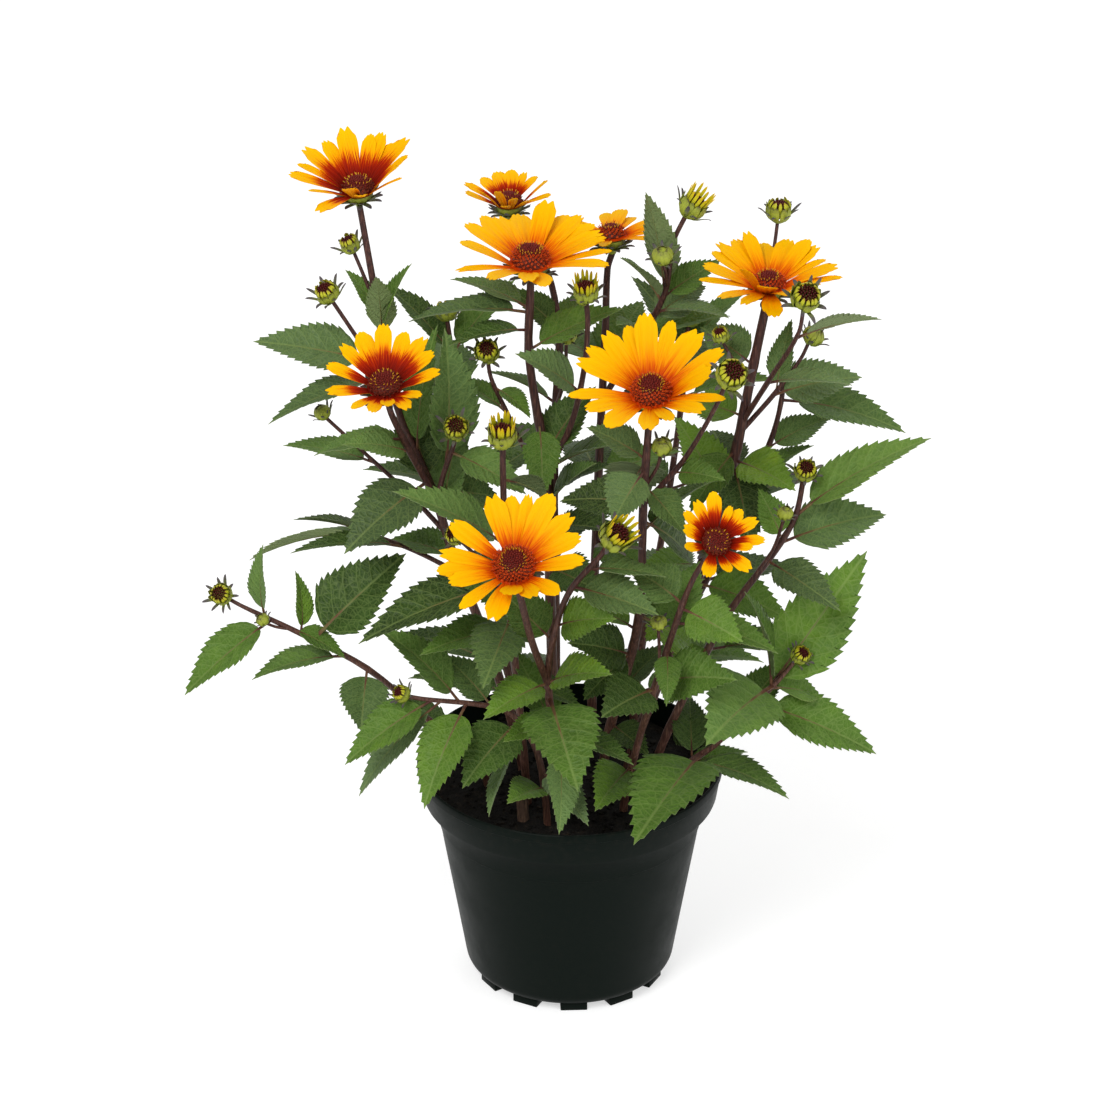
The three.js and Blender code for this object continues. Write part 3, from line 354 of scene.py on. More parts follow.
compost = finish("damp_compost", 0.9, Specular_IOR_Level=0.2)
place = put(compost, "TexCoord").outputs["Object"]
lumps = clouds(compost, place, 190, 8, 0.7)
fibres = put(compost, "TexVoronoi", {"Vector": place, "Scale": 420.0}).outputs["Distance"]
stops = [
    (0.3, (0.0012, 0.001, 0.0009)), (0.52, (0.0055, 0.0042, 0.0032)), (0.64, (0.016, 0.0115, 0.008)),
    (0.76, (0.055, 0.037, 0.024)),
]
feed(compost, "Base Color", ramped(compost, lumps, stops))
emboss(compost, calc(compost, "ADD", lumps, calc(compost, "MULTIPLY", fibres, 0.4)), 0.8, 0.0012)
soil.data.materials.append(compost)
smoothed(soil, 40)
stands_for(soil, "potting_soil", "soil")


# Cut stub
# The woody foot of an old stem, pruned off at a slant above the soil. Its dry bark is ridged, and the
# cut shows a pale ring round a darker pith.
STUB_ROOT = (-24, -44)
STUB_FOOT = 84
STUB_TOP = 142
STUB_RADIUS = 3.3
STUB_LEAN = -3
STUB_SLANT = 0.35
STUB_STEPS = 12
BARK_WIDTH = 0.7
WOOD_WIDTH = 1.1
PITH_DEPTH = 0.8

bpy.ops.mesh.primitive_circle_add(vertices=18, radius=STUB_RADIUS * MM, fill_type="NGON")
stub = bpy.context.object
foot = Vector((POT_OFFSET + STUB_ROOT[0], STUB_ROOT[1], STUB_FOOT)) * MM
stub.data.transform(Matrix.Translation(foot))
bpy.ops.object.mode_set(mode="EDIT")
for step in range(STUB_STEPS):
    way = (STUB_LEAN / STUB_STEPS * MM, 0, (STUB_TOP - STUB_FOOT) / STUB_STEPS * MM)
    bpy.ops.mesh.extrude_region_move(TRANSFORM_OT_translate={"value": way})
bpy.ops.mesh.inset(thickness=BARK_WIDTH * MM)
bpy.ops.mesh.inset(thickness=WOOD_WIDTH * MM)
bpy.ops.transform.translate(value=(0, 0, -PITH_DEPTH * MM))
facing_out()
for vertex in stub.data.vertices:
    share = (vertex.co.z / MM - STUB_FOOT) / (STUB_TOP - STUB_FOOT)
    x = foot.x + STUB_LEAN * share * MM
    y = foot.y
    angle = math.atan2(vertex.co.y - y, vertex.co.x - x)
    ridge = 1 + 0.07 * math.sin(5 * angle + 2 * share) + 0.05 * noise.noise(vertex.co * 300)
    vertex.co.x = x + (vertex.co.x - x) * ridge
    vertex.co.y = y + (vertex.co.y - y) * ridge
    if share > 0.95:
        vertex.co.z += STUB_SLANT * (vertex.co.x - x)

bark = finish("dry_bark", 0.85)
place = put(bark, "TexCoord").outputs["Object"]
drawn = put(bark, "Mapping", {"Vector": place, "Scale": (1.0, 1.0, 0.15)}).outputs["Vector"]
streaks = clouds(bark, drawn, 900, 5, 0.6)
stops = [(0.3, (0.03, 0.016, 0.009)), (0.55, (0.11, 0.06, 0.036)), (0.75, (0.24, 0.15, 0.095))]
feed(bark, "Base Color", ramped(bark, streaks, stops))
emboss(bark, streaks, 0.6, 0.0006)
stub.name = "old_stub"
stub.data.materials.append(bark)
smoothed(stub, 40)
stands_for(stub, "dry_stem", "cut_stub")


# Stems
# Slim green-wooded stems, flushed dark purple where the sun reaches them. They stand in the soil, fork
# under each head and bud, and swell a little where a pair of leaves joins.

# A head is the middle of its rays' plate, how far it leans towards the front and turns to the right, and
# its disc's radius and height. A ray is the way it points, turning left from the right, its reach, its
# rise in degrees and its width.
HEADS = {
    "bloom_upper_left": dict(at=[-111, 16, 465], tilt=10, turn=-3, disc=[8, 7], rays=[
        [15, 29, 43, 5], [39, 36, 39, 8], [50, 30, 38, 7], [64, 33, 39, 7], [75, 31, 41, 7], [102, 35, 46, 9],
        [124, 32, 41, 7], [149, 34, 40, 8], [167, 31, 38, 5], [184, 33, 31, 7], [223, 31, 37, 5],
        [238, 32, 21, 7], [266, 31, 48, 7], [278, 31, 39, 6], [324, 31, 43, 5], [333, 31, 54, 5],
    ]),
    "bloom_back_left": dict(at=[-33, 85, 429], tilt=4, turn=-2, disc=[7, 6], rays=[
        [56, 22, 25, 5], [69, 22, 26, 5], [86, 23, 28, 8], [106, 23, 27, 8], [127, 22, 25, 7],
        [160, 23, 30, 6], [200, 24, 40, 7], [221, 24, 52, 5], [255, 25, 57, 5], [265, 24, 36, 5],
        [279, 25, 47, 5], [304, 24, 40, 5], [334, 24, 35, 6], [353, 23, 49, 5],
    ]),
    "bloom_top": dict(at=[-21, 1, 430], tilt=8, turn=0, disc=[10, 10], rays=[
        [1, 37, 33, 6], [21, 35, 24, 8], [37, 36, 24, 8], [49, 37, 24, 8], [63, 36, 21, 9], [77, 38, 33, 10],
        [98, 36, 17, 10], [114, 35, 18, 9], [130, 36, 24, 9], [150, 36, 27, 8], [189, 36, 38, 9],
        [211, 39, 22, 5], [240, 38, 29, 8], [268, 38, 31, 9], [281, 38, 27, 9], [337, 39, 22, 7],
        [353, 38, 25, 5],
    ]),
    "bloom_back": dict(at=[22, 55, 422], tilt=-4, turn=-4, disc=[7.5, 7], rays=[
        [15, 27, 16, 7], [39, 27, 10, 6], [66, 27, 9, 6], [79, 28, 17, 8], [95, 27, 15, 7], [130, 27, 10, 7],
        [158, 27, 12, 7], [188, 27, 16, 7], [218, 28, 22, 6], [243, 28, 29, 6], [262, 28, 21, 6],
        [320, 29, 14, 7], [339, 28, 19, 6], [354, 27, 22, 6],
    ]),
    "bloom_right": dict(at=[104, 6, 415], tilt=10, turn=0, disc=[8.5, 7], rays=[
        [27, 29, 22, 5], [40, 32, 26, 7], [50, 33, 30, 8], [71, 32, 20, 9], [91, 31, 13, 9], [107, 34, 28, 7],
        [119, 32, 24, 8], [135, 33, 26, 7], [150, 31, 28, 8], [181, 33, 33, 9], [195, 35, 26, 5],
        [225, 34, 25, 6], [234, 35, 60, 7], [248, 35, 28, 7], [264, 35, 47, 9], [270, 35, 19, 9],
        [284, 34, 39, 7], [316, 34, 37, 7], [348, 35, 25, 5], [359, 34, 32, 8],
    ]),
    "bloom_left": dict(at=[-96, -48, 382], tilt=24, turn=-2, disc=[8.5, 6], rays=[
        [26, 26, 35, 8], [48, 28, 30, 8], [68, 27, 29, 8], [93, 30, 34, 8], [115, 29, 28, 9],
        [138, 27, 30, 7], [167, 27, 30, 7], [203, 28, 30, 7], [239, 28, 37, 5], [258, 26, 36, 7],
        [277, 27, 45, 7], [299, 28, 36, 7], [315, 27, 42, 6], [356, 27, 36, 7],
    ]),
    "bloom_centre": dict(at=[41, -68, 387], tilt=25, turn=0, disc=[10, 9], rays=[
        [26, 38, 28, 8], [52, 37, 28, 11], [73, 37, 30, 7], [94, 39, 30, 10], [107, 34, 27, 8],
        [129, 35, 29, 9], [146, 35, 29, 8], [162, 36, 29, 8], [191, 38, 23, 6], [212, 37, 30, 7],
        [233, 36, 30, 9], [267, 36, 36, 9], [284, 36, 43, 7], [314, 36, 38, 8], [340, 36, 29, 5],
        [356, 33, 49, 11],
    ]),
    "bloom_front": dict(at=[-29, -112, 310], tilt=34, turn=-3, disc=[10.5, 8], rays=[
        [19, 31, 28, 9], [39, 33, 24, 9], [61, 36, 25, 10], [77, 32, 24, 6], [91, 31, 22, 8],
        [107, 33, 25, 10], [147, 33, 24, 9], [174, 32, 25, 7], [188, 33, 23, 8], [204, 31, 31, 8],
        [226, 33, 25, 6], [254, 33, 28, 10], [270, 32, 56, 10], [290, 32, 49, 9], [314, 31, 38, 8],
        [353, 32, 30, 8],
    ]),
    "bloom_lower_right": dict(at=[75, -93, 314], tilt=47, turn=8, disc=[7, 4.5], rays=[
        [2, 21, 29, 6], [30, 20, 31, 7], [51, 17, 34, 7], [70, 16, 40, 5], [95, 22, 29, 8], [121, 20, 32, 7],
        [145, 20, 35, 6], [167, 19, 47, 8], [201, 20, 49, 6], [253, 20, 37, 8], [283, 20, 49, 6],
        [313, 20, 32, 8], [343, 18, 50, 5],
    ]),
}

# A shoot is a row of axes. An axis has a route of points that climb, its radius at the two ends, and what
# it ends in: a head, or a bud at a point with its radius, how far it is open (0 shut, 1 eyed, 2 rays
# showing), and how far it turns to the right and to the front. A leaf is the height where it leaves its
# axis, its tip, its width, and its roll about its own length. A leaf that looks unlike its neighbours
# also has its age, from 0, old and dark, to 1, and the share of grey haze on it. That haze is partly a
# waxy bloom and partly painted sheen, a pale cast where light glances off the leaf.
SHOOTS = {
    "shoot_left": [
        dict(
            route=[
                [-24, 10, 84], [-27, 9, 125], [-44, 0, 200], [-62, -6, 258], [-73, -11, 301], [-93, 0, 351],
                [-103, 8, 411], [-109, 17, 446],
            ],
            radii=[3, 1.7], head="bloom_upper_left",
            leaves=[
                [387, -83, 0, 430, 15, 30, 0.6, 0], [396, -119, 22, 417, 13, 0, 0.6, 0],
                [318, -128, 34, 303, 27, 10, 0.65, 0.2], [308, -120, -45, 282, 34, -20, 0.1, 0.3],
                [302, -38, 10, 288, 26, 40, 0.28, 0.1], [306, -89, 14, 350, 26, -20, 0.15, 0],
                [260, -98, 8, 264, 26, 0, 0.5, 0], [190, -98, 36, 190, 28, 0, 0.25, 0],
            ],
        ),
        dict(
            route=[[-73, -11, 301], [-84, -27, 333], [-93, -42, 362]],
            radii=[2.2, 1.7], head="bloom_left",
            leaves=[[333, -119, -52, 350, 18, -40, 0.6, 0.35], [344, -136, -20, 328, 20, -10, 0.6, 0.3]],
        ),
        dict(
            route=[[-71, -12, 299], [-67, -20, 318], [-61, -34, 342]],
            radii=[1.6, 1.2], bud=[-60, -37, 352, 6.4, 1, 0, 1.3],
            leaves=[[322, -66, -6, 396, 34, 40, 0.42, 0.3], [335, -23, -44, 317, 24, 20, 0.6, 0.3]],
        ),
        dict(route=[[-103, 8, 404], [-110, 14, 420]], radii=[1.2, 1], bud=[-116, 18, 433, 5.2, 1, -0.2, 0.6]),
        dict(
            route=[[-92, 0, 350], [-106, 4, 374], [-118, 5, 394]],
            radii=[1.5, 1.1], bud=[-128, 5, 411, 6, 1, -0.1, 0.7],
            leaves=[[372, -168, 5, 383, 29, -30, 0.35, 0.45], [363, -160, -15, 344, 22, 0, 0.25, 0.35]],
        ),
        dict(
            route=[[-66, -8, 275], [-86, -6, 298], [-108, -4, 320]],
            radii=[1.5, 1], bud=[-132, 0, 344, 4.5, 0, 0, 0.3],
            leaves=[[316, -154, 5, 322, 18, -10, 0.6, 0.2]],
        ),
        dict(
            route=[[-60, -5, 250], [-84, -2, 262], [-112, 2, 272]],
            radii=[1.5, 0.9],
            leaves=[[271, -176, 22, 244, 26, 20, 0.6, 0.15], [264, -150, -24, 272, 18, 0, 0.2, 0]],
        ),
    ],
    "shoot_low_left": [
        dict(
            route=[
                [-44, -6, 84], [-47, -6, 126], [-56, -8, 142], [-74, -10, 158], [-110, -25, 202],
                [-150, -30, 229], [-176, -30, 243],
            ],
            radii=[2.6, 1.1], bud=[-187, -30, 250, 5.6, 1, 0.4, 1.5],
            leaves=[
                [222, -88, -10, 265, 38, 30, 0.2, 0], [237, -164, -27, 279, 16, -50, 0.6, 0.3],
                [235, -207, -55, 202, 28, -10, 0.62, 0], [211, -171, -50, 209, 22, 0, 0.6, 0.2],
                [226, -148, -15, 257, 14, 40, 0.7, 0], [202, -113, -46, 174, 26, -10, 0.3, 0.3],
                [229, -121, -34, 213, 16, 10, 0.55, 0], [150, -112, 26, 152, 26, 0, 0.3, 0],
            ],
        ),
        dict(
            route=[[-150, -30, 229], [-158, -33, 232]],
            radii=[0.9, 0.8], bud=[-165, -36, 238, 3.6, 0, 0, 0.2],
        ),
    ],
    "shoot_rim_left": [
        dict(
            route=[
                [-12, -48, 84], [-13, -48, 128], [-18, -46, 162], [-30, -46, 184], [-45, -50, 193],
                [-78, -57, 201],
            ],
            radii=[2.3, 1.1], bud=[-90, -60, 206, 4.5, 1, 0, 0.5],
            leaves=[
                [200, -121, -74, 170, 26, -20, 0.6, 0], [199, -115, -55, 139, 20, -30, 0.3, 0.7],
                [196, -78, -97, 156, 28, 0, 0.65, 0], [181, -58, -82, 160, 30, -20, 0.35, 0],
                [192, -70, -34, 216, 22, -20, 0.3, 0.2], [150, 10, -84, 138, 20, 0, 0.3, 0.9],
                [140, -34, -84, 152, 22, -10, 0.65, 0], [197, -103, -50, 241, 26, -20, 0.5, 0.1],
            ],
        ),
    ],
    "shoot_top": [
        dict(
            route=[
                [-6, 2, 84], [-9, 6, 160], [-11, 2, 240], [-12, 0, 310], [-18, 0, 346], [-22, 0, 380],
                [-21, 0, 414],
            ],
            radii=[3.1, 2], head="bloom_top",
            leaves=[
                [402, -86, 10, 392, 26, 0, 0.25, 0.3], [392, -64, -14, 389, 18, 0, 0.25, 0],
                [404, -64, 30, 408, 18, 0, 0.4, 0.25], [338, -15, -32, 307, 20, 0, 0.5, 0],
                [380, 28, 12, 399, 24, 10, 0.6, 0], [275, 26, -16, 280, 26, 0, 0.1, 0],
                [250, 17, -24, 248, 26, 30], [226, -42, -22, 218, 27, -30],
                [290, 14, -8, 318, 24, 10, 0.4, 0.1], [318, 14, 16, 352, 24, 20, 0.25, 0],
            ],
        ),
        dict(
            route=[[-12, 0, 300], [-24, -1, 322], [-36, -2, 350], [-42, -4, 366]],
            radii=[1.5, 1.1], bud=[-44, -6, 382, 6.2, 1, 0.1, 1.3],
            leaves=[[345, -64, 4, 362, 18, 0, 0.55, 0], [360, -21, -14, 347, 16, 0, 0.6, 0]],
        ),
        dict(
            route=[[-12, 0, 310], [0, -5, 338], [7, -9, 372], [9, -10, 400]],
            radii=[1.8, 1.4], bud=[8, -10, 418, 6.8, 2, 0, 0.5],
            leaves=[[359, -29, -30, 392, 24, -40, 0.45, 0.55]],
        ),
    ],
    "shoot_back_left": [
        dict(
            route=[
                [-8, 26, 84], [-8, 27, 200], [-9, 25, 297], [-8, 30, 332], [-6, 36, 372], [-12, 52, 402],
                [-28, 78, 418],
            ],
            radii=[2.8, 1.5], head="bloom_back_left",
            leaves=[
                [375, -34, 36, 400, 18, -40, 0.3, 0], [368, 8, 68, 384, 20, 10, 0.6, 0],
                [300, -46, 62, 306, 28, 0], [300, 30, 6, 322, 26, 0, 0.4, 0.2], [235, -30, 86, 228, 28, 0],
                [249, -42, 14, 274, 28, -40],
            ],
        ),
        dict(route=[[-8, 30, 332], [-3, 18, 356]], radii=[1.3, 1], bud=[-2, 11, 384, 5, 1, 0, 0.6]),
    ],
    "shoot_back": [
        dict(
            route=[[12, 34, 84], [13, 36, 200], [16, 40, 300], [19, 48, 370], [20, 53, 404]],
            radii=[2.8, 1.8], head="bloom_back",
            leaves=[
                [350, 40, 84, 372, 28, 0], [350, -14, 88, 350, 28, 0], [285, 62, 60, 292, 28, 0],
                [285, 6, 98, 280, 28, 0], [248, 40, 10, 243, 26, 20],
            ],
        ),
        dict(
            route=[[17, 43, 330], [34, 34, 366], [50, 20, 404], [54, 18, 434]],
            radii=[1.8, 1.3], bud=[64, 20, 454, 7.2, 2, 0.5, 0.2],
            leaves=[
                [401, 80, 32, 418, 18, 30, 0.45, 0], [392, 84, 6, 396, 18, 0, 0.4, 0.5],
                [378, 24, 6, 392, 18, 0], [404, 39, 8, 467, 21, 10, 0.5, 0.1],
                [386, 73, 44, 398, 22, 30, 0.4, 0.7], [399, 26, 10, 429, 18, 0, 0.45, 0.2],
            ],
        ),
        dict(route=[[51, 19, 408], [50, 10, 420]], radii=[1, 0.9], bud=[48, 6, 432, 5.5, 0, 0.1, 0.3]),
    ],
    "shoot_right": [
        dict(
            route=[
                [30, 12, 84], [34, 10, 126], [50, 6, 180], [70, 4, 245], [87, 5, 310], [96, 5, 363],
                [102, 5, 398],
            ],
            radii=[3.4, 2.4], head="bloom_right",
            leaves=[
                [320, 64, -12, 290, 24, -10, 0.5, 0], [311, 96, -22, 272, 28, 0, 0.12, 0],
                [300, 78, 58, 306, 26, 0], [250, 36, -6, 252, 26, 0, 0.7, 0],
                [190, 108, 22, 180, 28, 0, 0.6, 0], [369, 69, 24, 383, 24, -30, 0.3, 0.3],
                [339, 63, 24, 339, 24, -30, 0.7, 0], [228, 41, -6, 208, 24, -30, 0.8, 0],
                [239, 120, 4, 216, 28, 30, 0.65, 0], [313, 120, -22, 308, 26, 20, 0.8, 0],
                [290, 56, 34, 326, 28, 0, 0.75, 0],
            ],
        ),
        dict(
            route=[[96, 5, 363], [104, 30, 395], [109, 48, 420]],
            radii=[1.4, 1], bud=[111, 52, 438, 6.6, 1, 0, 0.3],
        ),
        dict(
            route=[[92, 5, 336], [106, -14, 372], [118, -35, 406]],
            radii=[1.6, 1.1], bud=[121, -40, 428, 7.4, 1, 0.1, 1.1],
            leaves=[[366, 148, -22, 370, 18, 0, 0.4, 0.6], [402, 162, -20, 407, 14, -50, 0.45, 0.4]],
        ),
        dict(
            route=[[91, 5, 330], [108, 8, 350], [122, 10, 370]],
            radii=[1.5, 1], bud=[129, 10, 384, 5.5, 0, 0.5, 0.2],
            leaves=[[350, 156, 14, 358, 28, 30, 0.4, 0.6], [352, 118, 24, 388, 14, 0, 0.4, 0.3]],
        ),
        dict(route=[[95, 5, 360], [86, 1, 374]], radii=[1, 0.9], bud=[79, -1, 389, 4.5, 1, 0, 0.3]),
        dict(
            route=[[54, 6, 194], [86, 16, 262], [108, 22, 316], [114, 24, 344]],
            radii=[2, 1.3], bud=[112, 28, 357, 3.6, 0, 0, 0],
            leaves=[
                [340, 181, 18, 323, 27, 20, 0.4, 0.25], [312, 142, 40, 322, 18, 30, 0.45, 0.3],
                [280, 134, 66, 274, 28, 0, 0.3, 0], [236, 128, 44, 226, 28, 0, 0.2, 0],
            ],
        ),
    ],
    "shoot_far_right": [
        dict(
            route=[
                [40, -8, 84], [45, -10, 126], [62, -18, 180], [85, -24, 235], [110, -25, 275],
                [120, -20, 292],
            ],
            radii=[2.7, 1.5], bud=[125, -16, 317, 5.8, 1, 0, 1.3],
            leaves=[
                [292, 193, 0, 329, 30, 10, 0.72, 0.25], [278, 171, 2, 282, 30, 30, 0.38, 0.4],
                [280, 100, -14, 306, 18, -30, 0.65, 0], [268, 143, -62, 257, 23, 20, 0.15, 0.3],
                [212, 142, 4, 198, 26, 0, 0.5, 0], [218, 54, -20, 177, 25, -50, 0.65, 0],
                [157, 80, -26, 155, 18, 30, 0.2, 0],
            ],
        ),
        dict(route=[[98, -26, 258], [108, -28, 276]], radii=[1, 0.9], bud=[114, -32, 300, 4.2, 0, 0, 0.3]),
    ],
    "shoot_centre": [
        dict(
            route=[
                [16, -12, 84], [20, -16, 150], [30, -30, 200], [37, -46, 250], [38, -58, 320], [40, -67, 366],
            ],
            radii=[2.9, 1.9], head="bloom_centre",
            leaves=[
                [347, 8, -58, 363, 21, -20, 0.25, 0.35], [318, -6, -42, 312, 24, -30, 0.05, 0],
                [340, 22, -76, 316, 28, -10, 0.35, 0.5], [345, 24, -20, 290, 30, 20, 0.35, 0.4],
                [307, 64, -18, 264, 34, 50, 0.1, 0], [218, 7, -46, 194, 24, -30, 0.3, 0],
                [245, 67, -22, 211, 30, 50, 0.8, 0], [330, 60, -74, 308, 20, 10, 0.4, 0.2],
                [300, 78, -28, 318, 22, -20, 0.35, 0], [235, 0, -30, 246, 22, 0, 0.72, 0],
                [240, 72, -34, 262, 24, 0, 0.65, 0], [216, -2, -60, 237, 25, -50, 0.2, 0],
                [164, 43, -44, 158, 18, 20, 0.2, 0],
            ],
        ),
        dict(
            route=[[38, -58, 318], [58, -62, 345], [74, -76, 383]],
            radii=[1.6, 1.2], bud=[81, -87, 406, 7.8, 1, 0.2, 1],
            leaves=[[338, 80, -78, 342, 15, 40, 0.5, 0]],
        ),
        dict(route=[[39, -60, 330], [45, -62, 342]], radii=[1, 0.9], bud=[47, -64, 355, 5.2, 0, -0.1, 0.6]),
    ],
    "shoot_front": [
        dict(
            route=[
                [4, -34, 84], [3, -38, 126], [-6, -55, 170], [-12, -70, 218], [-8, -80, 256], [0, -85, 282],
                [15, -90, 304],
            ],
            radii=[2.6, 1.4], bud=[23, -93, 317, 8, 2, 0.4, 0.8],
            leaves=[
                [296, 50, -86, 290, 15, 10, 0.4, 0.3], [258, 24, -102, 274, 23, 50, 0.72, 0],
                [284, 46, -96, 273, 28, 20, 0.35, 0.4], [218, 22, -100, 240, 24, 30, 0.78, 0],
                [218, -46, -102, 214, 24, -10, 0.72, 0], [208, 4, -126, 184, 40, 0, 0.48, 0],
                [168, -6, -98, 141, 20, -30, 0.6, 0.5], [180, 34, -84, 176, 22, 0, 0.35, 0],
                [187, -36, -84, 190, 18, -20, 0.7, 0], [248, -37, -60, 269, 24, -30, 0.4, 0],
            ],
        ),
        dict(route=[[-12, -70, 218], [-20, -84, 250], [-25, -98, 280]], radii=[2.1, 1.9], head="bloom_front"),
    ],
    "shoot_front_left": [
        dict(
            route=[[-22, -24, 84], [-24, -26, 130], [-30, -42, 220], [-34, -60, 290], [-35, -70, 344]],
            radii=[2.5, 1.6], bud=[-35, -70, 364, 7.2, 2, 0, 0.5],
            leaves=[
                [296, -92, -82, 338, 30, -20, 0.55, 0.3], [270, -112, -78, 246, 34, -10, 0.12, 0],
                [238, -80, -72, 236, 23, -20, 0.5, 0], [246, -46, -102, 232, 30, 0, 0.35, 0.3],
                [338, -12, -44, 314, 18, -30], [160, -44, -78, 140, 16, 40, 0.5, 0.6],
                [200, 6, -58, 196, 22, 0, 0.3, 0], [261, -68, -66, 286, 25, -50, 0.4, 0],
            ],
        ),
        dict(route=[[-33, -56, 272], [-48, -64, 290]], radii=[1.1, 0.9], bud=[-60, -70, 306, 5, 1, 0, 0.8]),
    ],
    "shoot_right_front": [
        dict(
            route=[
                [28, -32, 84], [30, -35, 126], [36, -47, 165], [43, -60, 202], [54, -75, 252], [63, -87, 288],
            ],
            radii=[2.5, 1.5], head="bloom_lower_right",
            leaves=[
                [269, 90, -98, 258, 26, 40, 0.66, 0], [258, 110, -74, 238, 26, 10, 0.6, 0],
                [272, 30, -68, 286, 26, -20, 0.4, 0.2], [215, 88, -88, 230, 30, 40, 0.5, 0],
                [210, 16, -86, 206, 32, -20, 0.25, 0], [238, 50, -106, 224, 14, 0, 0.5, 0],
                [245, 69, -40, 276, 24, 0], [150, 13, -92, 152, 27, -20, 0.7, 0],
            ],
        ),
        dict(route=[[44, -62, 206], [47, -72, 230]], radii=[1, 0.9], bud=[46, -80, 260, 4.2, 0, 0, 0.3]),
    ],
    "shoot_low_right": [
        dict(
            route=[
                [46, -28, 84], [52, -31, 126], [57, -34, 140], [70, -40, 156], [80, -45, 167],
                [111, -50, 208],
            ],
            radii=[2.4, 1.2], bud=[123, -50, 224, 4.8, 1, 0.1, 0.9],
            leaves=[
                [205, 71, -97, 195, 42, -20, 0.62, 0.25], [194, 166, -52, 164, 30, 30, 0.56, 0],
                [152, 118, -74, 149, 22, 0, 0.45, 0.1], [184, 118, -22, 206, 21, 10, 0.45, 0],
                [204, 136, -34, 190, 24, 20, 0.64, 0], [148, 98, -20, 147, 16, 0, 0.55, 0],
                [200, 160, -14, 269, 38, 50, 0.64, 0], [204, 92, -58, 267, 24, -30, 0.4, 0],
                [158, 33, -125, 151, 45, 0, 0.5, 0],
            ],
        ),
    ],
    "shoot_rear_left": [
        dict(
            route=[[-30, 34, 84], [-34, 40, 160], [-50, 62, 240], [-62, 84, 310], [-66, 92, 344]],
            radii=[2.6, 1.3], bud=[-68, 96, 360, 6, 1, 0, -0.4],
            leaves=[
                [150, -92, 58, 150, 28, 0], [150, -14, 94, 146, 26, 0], [205, -64, 118, 200, 30, 0],
                [262, -116, 86, 268, 30, 0], [262, -10, 108, 276, 26, 0], [312, -74, 146, 322, 30, 0],
                [312, -110, 58, 336, 26, 0], [336, -30, 118, 370, 22, 0], [336, -104, 108, 372, 22, 0],
            ],
        ),
    ],
    "shoot_rear_right": [
        dict(
            route=[[34, 34, 84], [38, 42, 160], [52, 66, 240], [62, 86, 310], [64, 94, 340]],
            radii=[2.6, 1.3], bud=[66, 98, 356, 6, 1, 0, -0.4],
            leaves=[
                [150, 94, 58, 150, 28, 0], [150, 30, 100, 146, 26, 0], [205, 68, 122, 200, 30, 0],
                [262, 122, 92, 262, 30, 0], [262, 22, 116, 258, 26, 0], [312, 72, 148, 322, 30, 0],
                [312, 114, 70, 330, 26, 0], [336, 34, 122, 370, 22, 0], [336, 100, 110, 368, 22, 0],
            ],
        ),
    ],
}

STEM_STEPS = 5
JOINT_SWELLING = 0.13
JOINT_REACH = 4
CUP_DEPTH = 9
BUD_DEPTH = 0.9
BUD_LIFT = 0.6


def unit(vector):
    return np.asarray(vector, float) / np.linalg.norm(vector)


def in_frame(points):
    """Points in the part's frame, in metres, from millimetres about the pot's axis."""
    return (np.asarray(points) + (POT_OFFSET, 0, 0)) * MM


class Head:
    """The middle of a bud or bloom, the way it faces, and the two directions across it."""

    def __init__(self, at, axis):
        hint = (1, 0, 0) if abs(axis[0]) < 0.9 else (0, 1, 0)
        self.at = np.array(at, float)
        self.axis = unit(axis)
        self.right = unit(hint - self.axis * np.dot(self.axis, hint))
        self.back = np.cross(self.axis, self.right)

    def place(self, right, back, up):
        """Points in the frame from how far they are to the right, back and up from the middle."""
        across = np.outer(right, self.right) + np.outer(back, self.back)
        return in_frame(self.at + across + np.outer(up, self.axis))

    def carry(self, points):
        """The points of a round body about +Z, taken to the head."""
        return self.place(*(points / MM).T)


def bloom_head(bloom):
    tilt = math.radians(bloom["tilt"])
    turn = math.radians(bloom["turn"])
    axis = (math.sin(turn), -math.sin(tilt) * math.cos(turn), math.cos(tilt) * math.cos(turn))
    return Head(bloom["at"], axis)


def bud_head(axis):
    at = np.array(axis["bud"][:3], float)
    right, front = axis["bud"][5:]
    return Head(at, unit(at - axis["route"][-1]) + (right, -front, BUD_LIFT))


def stem_end(axis):
    """Where a stem meets the cup or bud that it carries."""
    if "head" in axis:
        head = bloom_head(HEADS[axis["head"]])
        return head.at - CUP_DEPTH * head.axis
    if "bud" in axis:
        head = bud_head(axis)
        return head.at - BUD_DEPTH * axis["bud"][3] * head.axis
    return None


def smooth_route(axis):
    """Points along a smooth curve through a stem's route, each with the stem's radius there."""
    spots = [np.array(spot, float) for spot in axis["route"]]
    start, end = axis["radii"]
    last = len(spots) - 1
    radii = [start + (end - start) * i / last for i in range(last + 1)]
    top = stem_end(axis)
    if top is not None:
        spots.append(top)
        radii.append(end)
        last += 1
    spans = [np.linalg.norm(there - here) for here, there in zip(spots, spots[1:])]
    slopes = [
        (spots[min(i + 1, last)] - spots[max(i - 1, 0)]) / sum(spans[max(i - 1, 0) : i + 1])
        for i in range(last + 1)
    ]
    points = []
    for i, length in enumerate(spans):
        for t in np.arange(STEM_STEPS + (i == last - 1)) / STEM_STEPS:
            point = (
                (2 * t**3 - 3 * t**2 + 1) * spots[i]
                + (t**3 - 2 * t**2 + t) * length * slopes[i]
                + (3 * t**2 - 2 * t**3) * spots[i + 1]
                + (t**3 - t**2) * length * slopes[i + 1]
            )
            points.append((point, radii[i] + (radii[i + 1] - radii[i]) * t))
    return points


def spot_at(axis, height):
    """Where a stem reaches a height."""
    points = [point for point, _ in smooth_route(axis)]
    for here, there in zip(points, points[1:]):
        if here[2] <= height <= there[2]:
            return here + (there - here) * (height - here[2]) / max(there[2] - here[2], 1e-6)
    return points[-1]


